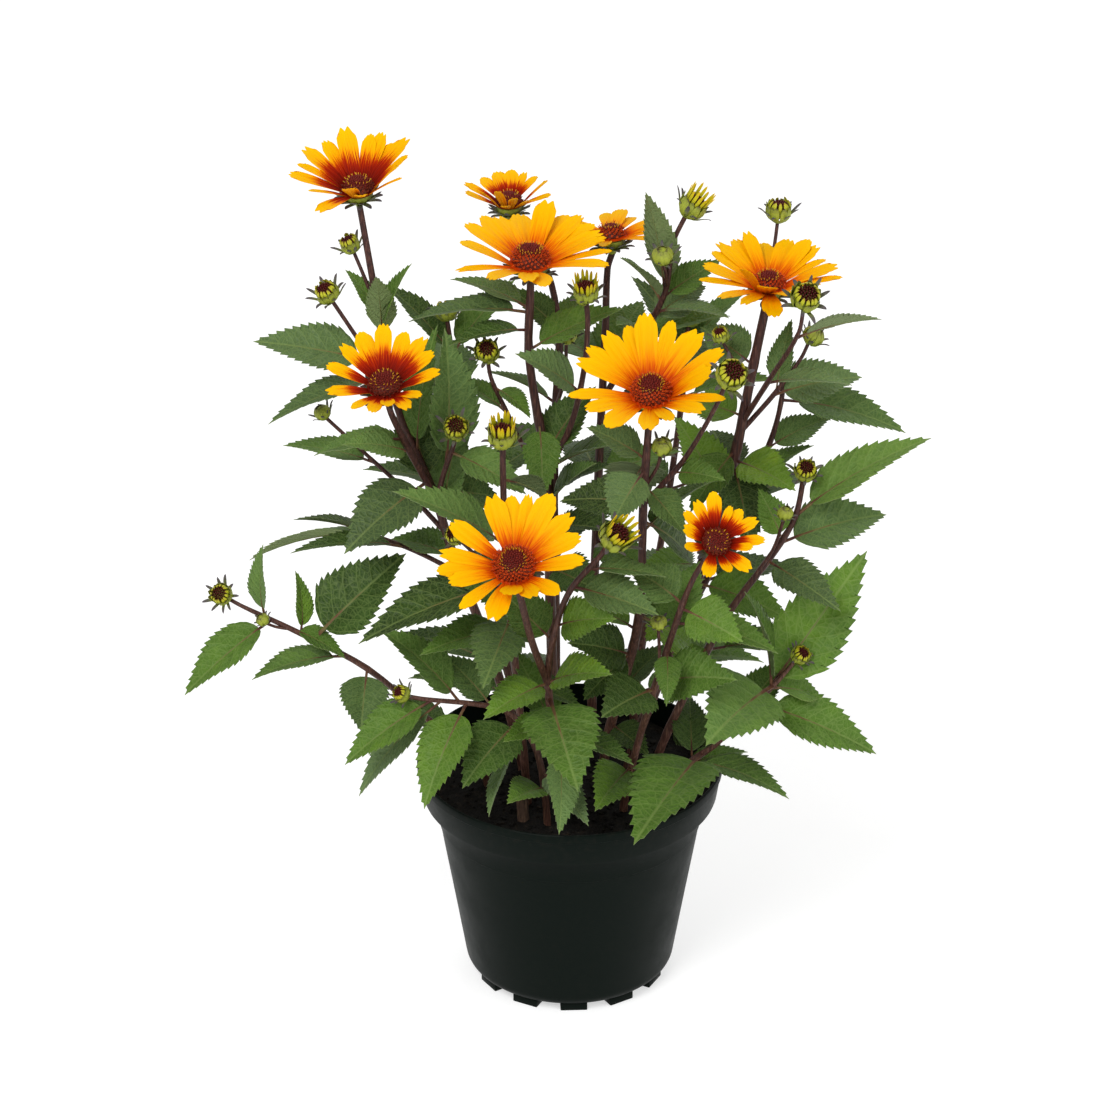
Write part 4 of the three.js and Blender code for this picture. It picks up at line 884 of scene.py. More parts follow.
def welded():
    """Closes the seams and poles of the active piece."""
    bpy.ops.object.mode_set(mode="EDIT")
    bpy.ops.mesh.select_all(action="SELECT")
    bpy.ops.mesh.remove_doubles(threshold=0.01 * MM)
    bpy.ops.object.mode_set(mode="OBJECT")


def stem_tube(axis):
    """One stem as a tapered tube with a swelling at each leaf."""
    points = smooth_route(axis)
    joints = [leaf[0] for leaf in axis.get("leaves", [])]
    bpy.ops.curve.primitive_nurbs_path_add()
    stem = bpy.context.object
    stem.data.splines.clear()
    line = stem.data.splines.new("POLY")
    line.points.add(len(points) - 1)
    for spot, (point, radius) in zip(line.points, points):
        swelling = sum(math.exp(-(((point[2] - joint) / JOINT_REACH) ** 2)) for joint in joints)
        spot.co = (*in_frame(point), 1)
        spot.radius = radius * (1 + JOINT_SWELLING * min(swelling, 1))
    stem.data.bevel_depth = MM
    stem.data.bevel_resolution = 4
    stem.data.use_fill_caps = True
    bpy.ops.object.convert(target="MESH")
    welded()
    return bpy.context.object


stem_skin = finish("purple_stem_skin", 0.5, Specular_IOR_Level=0.3)
place = put(stem_skin, "TexCoord").outputs["Object"]
drawn = put(stem_skin, "Mapping", {"Vector": place, "Scale": (1.0, 1.0, 0.1)}).outputs["Vector"]
ribs = clouds(stem_skin, drawn, 1300, 3)
patches = span(stem_skin, clouds(stem_skin, place, 60, 4), 0.35, 0.6, 0.45, 1.0)
height = put(stem_skin, "SeparateXYZ", {"Vector": place}).outputs["Z"]
worn = calc(stem_skin, "MULTIPLY", span(stem_skin, height, 0.17, 0.3, 1.0, 0.0), patches)
flushed = [(0.3, (0.02, 0.007, 0.006)), (0.55, (0.06, 0.019, 0.014)), (0.76, (0.13, 0.06, 0.04))]
woody = [(0.3, (0.05, 0.02, 0.013)), (0.55, (0.12, 0.052, 0.035)), (0.78, (0.24, 0.14, 0.09))]
ends = [ramped(stem_skin, ribs, stops) for stops in (flushed, woody)]
feed(stem_skin, "Base Color", blended(stem_skin, worn, *ends))
emboss(stem_skin, ribs, 0.5, 0.0004)

for name, axes in SHOOTS.items():
    stems = joined(name + "_stems", [stem_tube(axis) for axis in axes])
    stems.data.materials.clear()
    stems.data.materials.append(stem_skin)
    smoothed(stems, 60)
    stands_for(stems, "foliage", name)


# Leaves
# Opposite, ovate leaves with a long point, saw-toothed edges and a net of sunken veins. The stalk runs
# on as the midrib, which stands out below. One leaf is modelled, and each copy is stretched to its size
# and folded along its midrib, arched and rolled.
LEAF_LENGTH = 69
LEAF_WIDTH = 28
STALK_SHARE = 0.13
BLADE_LENGTH = LEAF_LENGTH * (1 - STALK_SHARE)
BLADE_THICKNESS = 0.35
TEETH = 11
TOOTH_DEPTH = 2.0
TOOTH_START = 0.14
TOOTH_END = 0.93
# Through a tooth: how far along it, how far out, and how far its point leans ahead
TOOTH_FORM = [(0, -0.05, 0), (0.32, 0.32, 0.02), (0.62, 0.7, 0.12), (0.86, 1.1, 0.34)]
LEAF_COLUMNS = 12
SIDE_VEINS = 6.5
VEIN_LEAN = 0.75
VEIN_CURVE = 1.3
LEAF_REACH = 0.995
LEAF_ARCH = 0.06
LEAF_FOLD = math.tan(math.radians(20))


def blade_half_width(along):
    """Half the width of the blade as a share of its widest half."""
    return 3.02 * along**0.55 * (1 - along) ** 1.25


def mark(piece, name, value):
    """Gives every point of a piece one number, for its material to read."""
    layer = piece.data.attributes.new(name, "FLOAT", "POINT")
    layer.data.foreach_set("value", np.full(len(piece.data.vertices), value, np.float32))


def thickened(piece, thickness):
    """A sheet given its thickness below, where it takes the second material."""
    pick(piece)
    bpy.ops.object.modifier_add(type="SOLIDIFY")
    modifier = piece.modifiers[-1]
    modifier.thickness = thickness * MM
    modifier.offset = -1
    modifier.material_offset = 1
    modifier.material_offset_rim = 1
    bpy.ops.object.modifier_apply(modifier=modifier.name)


def lay_uv(piece, where):
    """Gives each corner the map place that a rule finds from its point, in millimetres."""
    points = piece.data.vertices
    if not piece.data.uv_layers:
        piece.data.uv_layers.new(name="UVMap")
    for loop, spot in zip(piece.data.loops, piece.data.uv_layers.active.data):
        spot.uv = where(points[loop.vertex_index].co / MM)


tooth_pitch = (TOOTH_END - TOOTH_START) / TEETH
leaf_rows = [(0, 0, 0), (0.012, 0, 0), (0.05, 0, 0), (0.1, 0, 0)]
for tooth in range(TEETH):
    for phase, out, ahead in TOOTH_FORM:
        leaf_rows.append((TOOTH_START + (tooth + phase) * tooth_pitch, out, ahead * tooth_pitch))
leaf_rows += [(0.945, 0, 0), (0.97, 0, 0), (1, 0, 0)]


def blade_points(points):
    """Turns a flat grid from -1 to 1 into the toothed, puckered blade."""
    shaped = []
    last = len(leaf_rows) - 1
    for x, y, _ in points:
        along, out, ahead = leaf_rows[round((x + 1) / 2 * last)]
        edge = abs(y) > 0.99
        near_edge = 1.0 if edge else 0.35 if abs(y) > 0.8 else 0.0
        depth = TOOTH_DEPTH * (1 - along) ** 0.45 * min(1, 4 * along + 0.3)
        half = LEAF_WIDTH / 2 * blade_half_width(along)
        across = abs(y) ** 0.9 * half * (0.95 if edge else 0.93) + near_edge * out * depth
        if along in (0, 1):
            across = 0
        at = along + near_edge * ahead
        side = across / BLADE_LENGTH
        vein = SIDE_VEINS * (at - VEIN_LEAN * side - VEIN_CURVE * side**2)
        pucker = math.sin(math.pi * vein) ** 2 * min(1, across / 3) * (1 - 0.7 * abs(y) ** 3)
        lift = 0.55 * pucker * math.sin(math.pi * min(1, 1.05 * along)) + 0.12 * out * near_edge
        shaped.append((STALK_SHARE * LEAF_LENGTH + at * BLADE_LENGTH, math.copysign(across, y), lift))
    return np.array(shaped) * MM


bpy.ops.mesh.primitive_grid_add(x_subdivisions=len(leaf_rows) - 1, y_subdivisions=LEAF_COLUMNS, size=2)
blade = bpy.context.object
shape_points(blade, blade_points)
lay_uv(blade, lambda p: ((p.x - STALK_SHARE * LEAF_LENGTH) / BLADE_LENGTH, 0.5 + p.y / BLADE_LENGTH))
welded()

# The stalk and midrib: how far along the leaf each ring is, and its radius
RIB_RINGS = [
    (0, 1.0), (0.05, 0.85), (0.13, 0.8), (0.2, 0.62), (0.32, 0.52), (0.46, 0.43), (0.6, 0.34), (0.74, 0.25),
    (0.86, 0.17), (0.95, 0.08),
]


def drawn_up(rings, sides):
    """A closed round body about +Z through rings of (height, radius) in millimetres."""
    height, radius = rings[0]
    bpy.ops.mesh.primitive_circle_add(vertices=sides, radius=radius * MM, fill_type="NGON")
    body = bpy.context.object
    bpy.ops.object.mode_set(mode="EDIT")
    bpy.ops.transform.translate(value=(0, 0, height * MM))
    for (low, near), (high, far) in zip(rings, rings[1:]):
        bpy.ops.mesh.extrude_region_move(TRANSFORM_OT_translate={"value": (0, 0, (high - low) * MM)})
        taper = far / near
        bpy.ops.transform.resize(value=(taper, taper, 1), center_override=(0, 0, high * MM))
    facing_out()
    return body


rib = drawn_up([(share * LEAF_LENGTH, radius) for share, radius in RIB_RINGS], 7)
shape_points(rib, lambda points: np.column_stack((points[:, 2], points[:, 1], -points[:, 0] - 0.2 * MM)))


def cell_edges(material, place, scale):
    """How far a point is from the edge of its cell, in a net of cells over a surface."""
    inputs = {"Vector": place, "Scale": scale}
    return put(material, "TexVoronoi", inputs, feature="DISTANCE_TO_EDGE").outputs["Distance"]


def vein_net(material):
    """How strongly the veins show at a point, and how high the quilted blade stands there."""
    place = put(material, "UVMap", uv_map="UVMap").outputs["UV"]
    along, level, _ = put(material, "SeparateXYZ", {"Vector": place}).outputs
    across = calc(material, "ABSOLUTE", calc(material, "SUBTRACT", level, 0.5))
    back = calc(material, "MULTIPLY", across, VEIN_LEAN)
    curve = calc(material, "MULTIPLY", calc(material, "MULTIPLY", across, across), VEIN_CURVE)
    start = calc(material, "SUBTRACT", calc(material, "SUBTRACT", along, back), curve)
    waver = calc(material, "MULTIPLY", clouds(material, place, 9, 2), 0.03)
    turns = calc(material, "MULTIPLY", calc(material, "ADD", start, waver), SIDE_VEINS)
    off = calc(material, "PINGPONG", turns, 0.5)
    coarse, fine = (cell_edges(material, place, scale) for scale in (21, 52))
    seen = span(material, off, 0.01, 0.06, 0.8, 0.0)
    for other in (
        span(material, across, 0.004, 0.014, 1.0, 0.0),
        span(material, coarse, 0.01, 0.12, 0.62, 0.0),
        span(material, fine, 0.01, 0.2, 0.3, 0.0),
    ):
        seen = calc(material, "MAXIMUM", seen, other)
    valleys = calc(material, "MINIMUM", span(material, off, 0.0, 0.3), span(material, across, 0.0, 0.06))
    quilted = calc(material, "ADD", valleys, span(material, coarse, 0.0, 0.35, 0.0, 0.5))
    return seen, quilted


def leaf_finish(name, roughness, greens, haze_and_sheen_colour, vein_colour, vein_share, **settings):
    """A leaf skin: its green goes with the leaf's age, under a grey haze that is partly waxy bloom and partly
    painted sheen, with the veins drawn over it.
    """
    material = finish(name, roughness, Specular_IOR_Level=0.12)
    veins, quilted = vein_net(material)
    age = put(material, "Attribute", attribute_name="age").outputs["Fac"]
    haze_and_sheen = put(material, "Attribute", attribute_name="haze_and_sheen").outputs["Fac"]
    blotches = clouds(material, put(material, "TexCoord").outputs["Object"], 70, 5, 0.6)
    shift = span(material, blotches, 0.25, 0.75, -0.13, 0.13)
    fresh = ramped(material, calc(material, "ADD", age, shift), greens)
    # The grey haze is partly waxy bloom and partly painted sheen: a pale cast laid over the green where light
    # glances off the leaf.
    green = blended(material, haze_and_sheen, fresh, haze_and_sheen_colour)
    seen = calc(material, "MULTIPLY", veins, vein_share)
    feed(material, "Base Color", blended(material, seen, green, vein_colour))
    emboss(material, quilted, 0.6, 0.0009, **settings)
    return material


upper_greens = [
    (0.0, (0.012, 0.026, 0.007)), (0.3, (0.034, 0.076, 0.011)), (0.6, (0.074, 0.155, 0.018)),
    (0.8, (0.115, 0.225, 0.016)), (1.0, (0.22, 0.34, 0.006)),
]
lower_greens = [(0.0, (0.07, 0.1, 0.04)), (0.5, (0.13, 0.19, 0.06)), (1.0, (0.22, 0.31, 0.05))]
leaf_top = leaf_finish(
    "leaf_upper_skin", 0.46, upper_greens,
    haze_and_sheen_colour=(0.13, 0.2, 0.085), vein_colour=(0.25, 0.34, 0.1), vein_share=0.42,
)
leaf_under = leaf_finish(
    "leaf_lower_skin", 0.7, lower_greens,
    haze_and_sheen_colour=(0.2, 0.24, 0.14), vein_colour=(0.2, 0.23, 0.11), vein_share=0.6, invert=True,
)
leaf_stalk = finish("leaf_stalk_skin", 0.55, Specular_IOR_Level=0.25)
streaks = clouds(leaf_stalk, put(leaf_stalk, "TexCoord").outputs["Object"], 160, 4)
place = put(leaf_stalk, "UVMap", uv_map="UVMap").outputs["UV"]
from_stem = put(leaf_stalk, "SeparateXYZ", {"Vector": place}).outputs["X"]
drift = span(leaf_stalk, streaks, 0.3, 0.7, -0.22, 0.22)
stops = [
    (0.0, (0.07, 0.022, 0.016)), (0.16, (0.13, 0.06, 0.028)), (0.4, (0.15, 0.14, 0.045)),
    (0.8, (0.13, 0.19, 0.05)),
]
feed(leaf_stalk, "Base Color", ramped(leaf_stalk, calc(leaf_stalk, "ADD", from_stem, drift), stops))
emboss(leaf_stalk, streaks, 0.3, 0.0004)
lay_uv(rib, lambda p: (p.x / LEAF_LENGTH, 0.5))
for surface in (leaf_top, leaf_under):
    blade.data.materials.append(surface)
rib.data.materials.append(leaf_stalk)
thickened(blade, BLADE_THICKNESS)


def leaf_rule(base, tip, width, roll, draw):
    """The rule that takes a point of the flat leaf to its place on the plant."""
    chord = tip - base
    length = np.linalg.norm(chord)
    chord = chord / length
    up = unit(np.array((0, 0, 1)) - chord * chord[2])
    turn = math.radians(roll)
    normal = up * math.cos(turn) + np.cross(chord, up) * math.sin(turn)
    side = np.cross(chord, normal)
    sway = draw.uniform(-0.02, 0.02) * length
    wave = draw.uniform(0.3, 0.9) * width / LEAF_WIDTH
    phase = draw.uniform(0, 2 * math.pi)
    waves = draw.uniform(9, 14)
    lean = draw.uniform(-0.05, 0.05)

    def move(points):
        share = points[:, 0] / MM / LEAF_LENGTH
        across = points[:, 1] / MM * width / LEAF_WIDTH
        out = np.abs(points[:, 1]) / MM / (LEAF_WIDTH / 2)
        hump = 4 * share * (1 - share)
        lift = (
            LEAF_ARCH * length * hump
            + np.abs(across) * LEAF_FOLD * (1.12 - 0.3 * out)
            + wave * out**2 * np.sin(waves * share + phase + np.sign(across))
            + lean * across * hump
            + points[:, 2] / MM
        )
        return in_frame(
            base
            + np.outer(LEAF_REACH * share * length, chord)
            + np.outer(across + sway * hump, side)
            + np.outer(lift, normal)
        )

    return move


# Young leaves deep in the plant, written as the others are, under their shoot and the axis's order
YOUNG_LEAVES = {
    "shoot_left": {
        0: [[322, -70, 8, 392, 20, 0], [384, -101, -12, 428, 16, 0], [284, -52, 12, 348, 24, 0]],
        6: [[269, -150, 8, 276, 20, 20]],
    },
    "shoot_back_left": {
        0: [[335, -45, 34, 352, 22, 20], [255, 22, 28, 268, 24, 10], [285, 24, 26, 300, 22, 0]],
    },
    "shoot_back": {1: [[368, 86, 36, 384, 22, 0]]},
    "shoot_right": {5: [[290, 132, 26, 312, 20, 0]]},
    "shoot_centre": {0: [[188, 54, -8, 208, 22, 0]]},
    "shoot_front": {0: [[178, -32, -28, 218, 22, 0]]},
    "shoot_low_right": {0: [[172, 116, -8, 190, 20, 0], [152, 66, 6, 168, 20, 0]]},
}
draw = random.Random(4)
for name, axes in SHOOTS.items():
    leaves = []
    for order, axis in enumerate(axes):
        rows = axis.get("leaves", []) + YOUNG_LEAVES.get(name, {}).get(order, [])
        for height, x, y, z, width, roll, *look in rows:
            rule = leaf_rule(spot_at(axis, height), np.array((x, y, z), float), width, roll, draw)
            chance = (draw.uniform(0.0, 0.62), draw.uniform(-0.3, 0.3))
            # Each leaf's haze share is partly waxy bloom and partly painted sheen, higher where light glances
            # off the leaf.
            age, haze_and_sheen = look or chance
            for model in (blade, rib):
                copy = own_copy(model, "leaf", rule)
                mark(copy, "age", age)
                mark(copy, "haze_and_sheen", max(0, haze_and_sheen))
                leaves.append(copy)
    whole = joined(name + "_leaves", leaves)
    smoothed(whole, 50)
    stands_for(whole, "foliage", name)
bpy.data.objects.remove(blade)
bpy.data.objects.remove(rib)


# Buds
# A bud is a yellow-green cup of packed bracts, with an outer row of slim grey ones that spread. It opens
# to show dark red florets, and later the rolled yellow-green rays stand up in a ring.
BRACT_LENGTH = 7
BRACT_WIDTH = 2.6
BRACT_THICKNESS = 0.32
# The way of a bract up the globe: radius and height as shares of the bud's radius
INNER_BRACT = [(0.42, -0.9), (0.86, -0.62), (1.02, -0.24), (1.04, 0.12), (1.0, 0.4), (1.06, 0.62)]
SHUT_BRACT = [(0.42, -0.9), (0.86, -0.58), (1.0, -0.15), (0.92, 0.32), (0.62, 0.68), (0.4, 0.9)]
OUTER_BRACT = [(0.4, -0.86), (0.9, -0.62), (1.22, -0.26), (1.5, 0.02), (1.76, 0.22), (1.98, 0.3)]
ROLLED_RAY = [(0.78, 0.2), (0.86, 0.5), (0.88, 0.8), (0.92, 1.1), (0.98, 1.4), (1.0, 1.62)]
SHORT_RAY = [(0.82, 0.1), (0.9, 0.34), (0.9, 0.56), (0.84, 0.76), (0.74, 0.9), (0.64, 0.98)]
BUD_RAYS = 15
BUD_CENTRE_GRAINS = 44
SMALL_BUD = 4
GOLDEN_ANGLE = math.pi * (3 - math.sqrt(5))

bpy.ops.mesh.primitive_grid_add(x_subdivisions=7, y_subdivisions=4, size=2)
bract = bpy.context.object


def bract_points(points):
    """Turns a flat grid from -1 to 1 into a pointed, keeled bract."""
    x = (points[:, 0] + 1) / 2
    half = BRACT_WIDTH / 2 * (0.72 + 0.55 * x) * np.maximum(1 - x**2.6, 0) ** 0.8
    keel = 0.22 * (1 - np.abs(points[:, 1])) * (1 - x)
    return np.column_stack((x * BRACT_LENGTH, points[:, 1] * half, keel)) * MM


shape_points(bract, bract_points)
lay_uv(bract, lambda p: (p.x / BRACT_LENGTH, 0.5 + p.y / BRACT_WIDTH))
welded()


def tip_coloured(name, roughness, stops):
    """A green or yellow skin whose colour runs from the foot of a bract or ray to its tip."""
    material = finish(name, roughness, Specular_IOR_Level=0.25)
    place = put(material, "UVMap", uv_map="UVMap").outputs["UV"]
    along = put(material, "SeparateXYZ", {"Vector": place}).outputs["X"]
    flecks = clouds(material, put(material, "TexCoord").outputs["Object"], 900, 4)
    drift = span(material, flecks, 0.25, 0.75, -0.16, 0.16)
    feed(material, "Base Color", ramped(material, calc(material, "ADD", along, drift), stops))
    emboss(material, flecks, 0.4, 0.0003)
    return material


bract_skin = tip_coloured("bract_skin", 0.55, [
    (0.0, (0.2, 0.24, 0.025)), (0.5, (0.33, 0.38, 0.04)), (0.8, (0.24, 0.27, 0.04)),
    (1.0, (0.09, 0.07, 0.035)),
])
outer_bract_skin = tip_coloured("outer_bract_skin", 0.6, [
    (0.0, (0.16, 0.2, 0.03)), (0.3, (0.21, 0.25, 0.06)), (0.5, (0.13, 0.13, 0.09)),
    (0.85, (0.075, 0.06, 0.07)),
])
rolled_ray_skin = tip_coloured("rolled_ray_skin", 0.5, [
    (0.0, (0.3, 0.32, 0.012)), (0.5, (0.52, 0.46, 0.008)), (0.95, (0.66, 0.42, 0.004)),
])
short_ray_skin = tip_coloured("short_ray_skin", 0.5, [
    (0.0, (0.3, 0.33, 0.02)), (0.6, (0.45, 0.46, 0.02)), (0.95, (0.34, 0.26, 0.015)),
])
grain_skin = tip_coloured("bud_centre_grain", 0.5, [
    (0.0, (0.06, 0.006, 0.005)), (0.6, (0.1, 0.009, 0.007)), (1.0, (0.035, 0.004, 0.004)),
])
thickened(bract, BRACT_THICKNESS)
bpy.ops.mesh.primitive_uv_sphere_add(segments=6, ring_count=4, radius=1)
grain = bpy.context.object


def wrapped(head, angle, way, width, skin, spread=1.0):
    """A copy of the bract that follows a way of (radius, height) points up round a head."""
    stations = np.linspace(0, 1, len(way))
    radii, heights = np.array(way, float).T
    ends = (radii[1:] - radii[:-1], heights[1:] - heights[:-1])

    def move(points):
        along = points[:, 0] / MM / BRACT_LENGTH
        radius = np.interp(along, stations, radii) * (1 + (spread - 1) * along)
        rise = np.interp(along, stations, heights)
        step = np.minimum((along * (len(way) - 1)).astype(int), len(way) - 2)
        run, climb = ends[0][step], ends[1][step]
        steep = np.hypot(run, climb)
        lift = points[:, 2] / MM
        turn = angle + points[:, 1] / MM * width / BRACT_WIDTH / np.maximum(radius, 0.9)
        reach = radius + lift * climb / steep
        return head.place(reach * np.cos(turn), reach * np.sin(turn), rise - lift * run / steep)

    copy = own_copy(bract, "bract", move)
    copy.data.materials.append(skin)
    return copy


def scaled(way, size):
    return [(radius * size, height * size) for radius, height in way]


def ball(head, radius, height, middle):
    """A smooth body inside the bracts, placed on the head's axis."""
    bpy.ops.mesh.primitive_uv_sphere_add(segments=16, ring_count=10, radius=1)
    body = bpy.context.object
    stretched = np.array((radius, radius, height))
    shape_points(body, lambda points: head.place(*(points * stretched + (0, 0, middle)).T))
    body.data.materials.append(bract_skin)
    return body


def grain_at(head, spot, radius, height):
    """One small bead of a head's middle, at a place right, back and up from it."""
    stretched = np.array((radius, radius, height))
    copy = own_copy(grain, "grain", lambda points: head.place(*(spot + points * stretched).T))
    copy.data.materials.append(grain_skin)
    return copy


def bud_pieces(axis, draw):
    """Everything in one bud."""
    head = bud_head(axis)
    radius, stage = axis["bud"][3:5]
    body_top = 0.5 if stage else 0.85
    pieces = [ball(head, 0.94 * radius, body_top * radius, -0.1 * radius)]
    inner, outer = (12, 9) if radius > SMALL_BUD else (9, 7)
    first = draw.uniform(0, ANY_TURN)
    for i in range(inner):
        angle = first + 2 * math.pi * (i + 0.3 * draw.uniform(-1, 1)) / inner
        way = scaled(INNER_BRACT if stage else SHUT_BRACT, radius * draw.uniform(0.9, 1.08))
        pieces.append(wrapped(head, angle, way, 0.7 * radius, bract_skin, draw.uniform(0.92, 1.12)))
    for i in range(outer):
        angle = first + 2 * math.pi * (i + 0.5 + 0.3 * draw.uniform(-1, 1)) / outer
        way = scaled(OUTER_BRACT, radius * draw.uniform(0.75, 1.05))
        sag = draw.uniform(-0.5, 0.25) * radius
        way = [(reach, height + sag * (k / 5) ** 2) for k, (reach, height) in enumerate(way)]
        width = 0.34 * radius * draw.uniform(0.85, 1.25)
        pieces.append(wrapped(head, angle, way, width, outer_bract_skin))
    if stage == 0:
        return pieces
    way, skin = (ROLLED_RAY, rolled_ray_skin) if stage == 2 else (SHORT_RAY, short_ray_skin)
    for i in range(BUD_RAYS):
        angle = first + 2 * math.pi * (i + 0.25 * draw.uniform(-1, 1)) / BUD_RAYS
        size = draw.uniform(0.78, 1.06)
        path = [(reach * radius, (0.2 + (height - 0.2) * size) * radius) for reach, height in way]
        pieces.append(wrapped(head, angle, path, 0.3 * radius, skin, draw.uniform(0.9, 1.08)))
    for i in range(BUD_CENTRE_GRAINS):
        share = math.sqrt((i + 0.5) / BUD_CENTRE_GRAINS)
        angle = i * GOLDEN_ANGLE
        offset = 0.72 * radius * share
        spot = (offset * math.cos(angle), offset * math.sin(angle), radius * (0.62 - 0.22 * share**3))
        pieces.append(grain_at(head, spot, 0.088 * radius, 0.24 * radius))
    return pieces


draw = random.Random(8)
for name, axes in SHOOTS.items():
    pieces = []
    for axis in axes:
        if "bud" in axis:
            pieces += bud_pieces(axis, draw)
    buds = joined(name + "_buds", pieces)
    smoothed(buds, 50)
    stands_for(buds, "foliage", name)


# Green cups
# Under each bloom the stem widens into a green cup, with two rows of blunt bracts that spread out
# below the rays. It grew with its stem, so it goes with the shoot.
CUP_RINGS = [(-9.6, 2.0), (-8.2, 2.6), (-6.6, 4.9), (-4.6, 7.3), (-3.0, 8.4), (-1.4, 8.3), (-1.0, 7.4)]
CUP_SIDES = 22
CUP_MODEL_RADIUS = 8.5
CUP_BRACTS = 11
# The way of a cup's bract: radius as a share of the disc's plus millimetres beyond it, and height
UPPER_CUP_WAY = [(0.45, 0, -6.6), (0.85, 0, -5.2), (1.0, 1.2, -3.7), (1.0, 3.2, -2.4), (1.0, 4.8, -1.3)]
LOWER_CUP_WAY = [(0.4, 0, -7.4), (0.8, 0, -6.2), (1.0, 1.4, -5.4), (1.0, 3.4, -5.2), (1.0, 5.0, -5.6)]

draw = random.Random(21)
for name, axes in SHOOTS.items():
    pieces = []
    for bloom in (HEADS[axis["head"]] for axis in axes if "head" in axis):
        head = bloom_head(bloom)
        disc_radius = bloom["disc"][0]
        size = disc_radius / CUP_MODEL_RADIUS
        cup = drawn_up([(height, max(2, radius * size)) for height, radius in CUP_RINGS], CUP_SIDES)
        shape_points(cup, head.carry)
        cup.data.materials.append(bract_skin)
        pieces.append(cup)
        first = draw.uniform(0, ANY_TURN)
        for row, way in enumerate((UPPER_CUP_WAY, LOWER_CUP_WAY)):
            for i in range(CUP_BRACTS):
                angle = first + 2 * math.pi * (i + 0.5 * row + 0.16 * draw.uniform(-1, 1)) / CUP_BRACTS
                sag = draw.uniform(-0.9, 0.7)
                path = [
                    (share * disc_radius + beyond, height + sag * beyond / 5)
                    for share, beyond, height in way
                ]
                pieces.append(wrapped(head, angle, path, draw.uniform(3.0, 3.8), outer_bract_skin))
    if pieces:
        cups = joined(name + "_cups", pieces)
        smoothed(cups, 50)
        stands_for(cups, "foliage", name)


# Rays
# The outer florets each carry one strap of petal: narrow at its foot, pleated lengthwise, and cut into
# uneven teeth at its tip. They stand in two layers on a thin plate under the disc.
RAY_LENGTH = 34
RAY_WIDTH = 9
RAY_THICKNESS = 0.4
RAY_DROOP = 0.1
RAY_LIFT = 0.5
RAY_TWIST = 0.15
RAY_ROOT_DEPTH = 0.6
RAY_REACH = 0.95
RAY_BREADTH = 1.12
RAY_SINK = 0.85
PLATE_HALF = 0.7
PLATE_MARGIN = 0.8
# How wide the ray is along its length, and how far each of its columns reaches, from edge to edge
RAY_WIDTHS = ([0, 0.12, 0.3, 0.5, 0.7, 0.88, 1], [0.5, 0.64, 0.86, 1.02, 1.08, 1.04, 0.8])
THREE_TEETH = [0.84, 0.92, 0.97, 0.955, 0.92, 0.965, 1.0, 0.98, 0.94, 0.97, 0.955, 0.91, 0.84]
TWO_TEETH = [0.82, 0.9, 0.96, 1.0, 0.975, 0.94, 0.905, 0.945, 0.975, 0.985, 0.94, 0.89, 0.82]
BLUNT_TIP = [0.84, 0.9, 0.945, 0.975, 0.965, 0.99, 1.0, 0.985, 0.955, 0.97, 0.94, 0.9, 0.85]
TIP_ORDER = (0, 1, 2, 0, 2, 1)


def wobble(seed, index):
    """A repeatable number from -1 to 1."""
    wave = math.sin(seed * 12.9898 + index * 78.233) * 43758.5453
    return 2 * (wave - math.floor(wave)) - 1


def ray_model(teeth, skins):
    """One flat ray along +X, with its tip cut into teeth."""
    bpy.ops.mesh.primitive_grid_add(x_subdivisions=18, y_subdivisions=12, size=2)
    ray = bpy.context.object

    def move(points):
        x = (points[:, 0] + 1) / 2
        y = points[:, 1]
        half = RAY_WIDTH / 2 * np.interp(x, *RAY_WIDTHS)
        reach = 1 - (1 - np.interp(y, np.linspace(-1, 1, len(teeth)), teeth)) * x**3
        pleats = 0.26 * np.cos(3 * math.pi * y) * np.sin(math.pi * np.minimum(1, x + 0.12)) ** 0.7
        along = RAY_LENGTH * x * reach
        return np.column_stack((along, y * half, pleats)) * MM

    shape_points(ray, move)
    lay_uv(ray, lambda p: (p.x / RAY_LENGTH, 0.5 + p.y / RAY_WIDTH))
    for skin in skins:
        ray.data.materials.append(skin)
    thickened(ray, RAY_THICKNESS)
    return ray


def ray_finish(name, stops, roughness=0.5):
    """Petal colour from foot to tip, drawn out in fine streaks, with long silky ribs."""
    material = finish(name, roughness, Specular_IOR_Level=0.04)
    place = put(material, "UVMap", uv_map="UVMap").outputs["UV"]
    own = put(material, "Attribute", attribute_name="own").outputs["Fac"]
    along, level, _ = put(material, "SeparateXYZ", {"Vector": place}).outputs
    moved = put(material, "CombineXYZ", {"X": along, "Y": level, "Z": own}).outputs[0]
    long_way = put(material, "Mapping", {"Vector": moved, "Scale": (0.9, 9.0, 40.0)}).outputs["Vector"]
    fine_way = put(material, "Mapping", {"Vector": moved, "Scale": (0.5, 26.0, 30.0)}).outputs["Vector"]
    across = calc(material, "ABSOLUTE", calc(material, "SUBTRACT", level, 0.5))
    at = along
    for shift in (
        span(material, clouds(material, long_way, 2.4, 4, 0.6), 0.3, 0.7, -0.16, 0.16),
        span(material, across, 0.25, 0.5, 0.0, 0.1),
        span(material, own, 0.0, 1.0, -0.05, 0.05),
    ):
        at = calc(material, "ADD", at, shift)
    feed(material, "Base Color", ramped(material, at, stops))
    emboss(material, clouds(material, fine_way, 2.2, 2), 0.35, 0.0005)
    return material


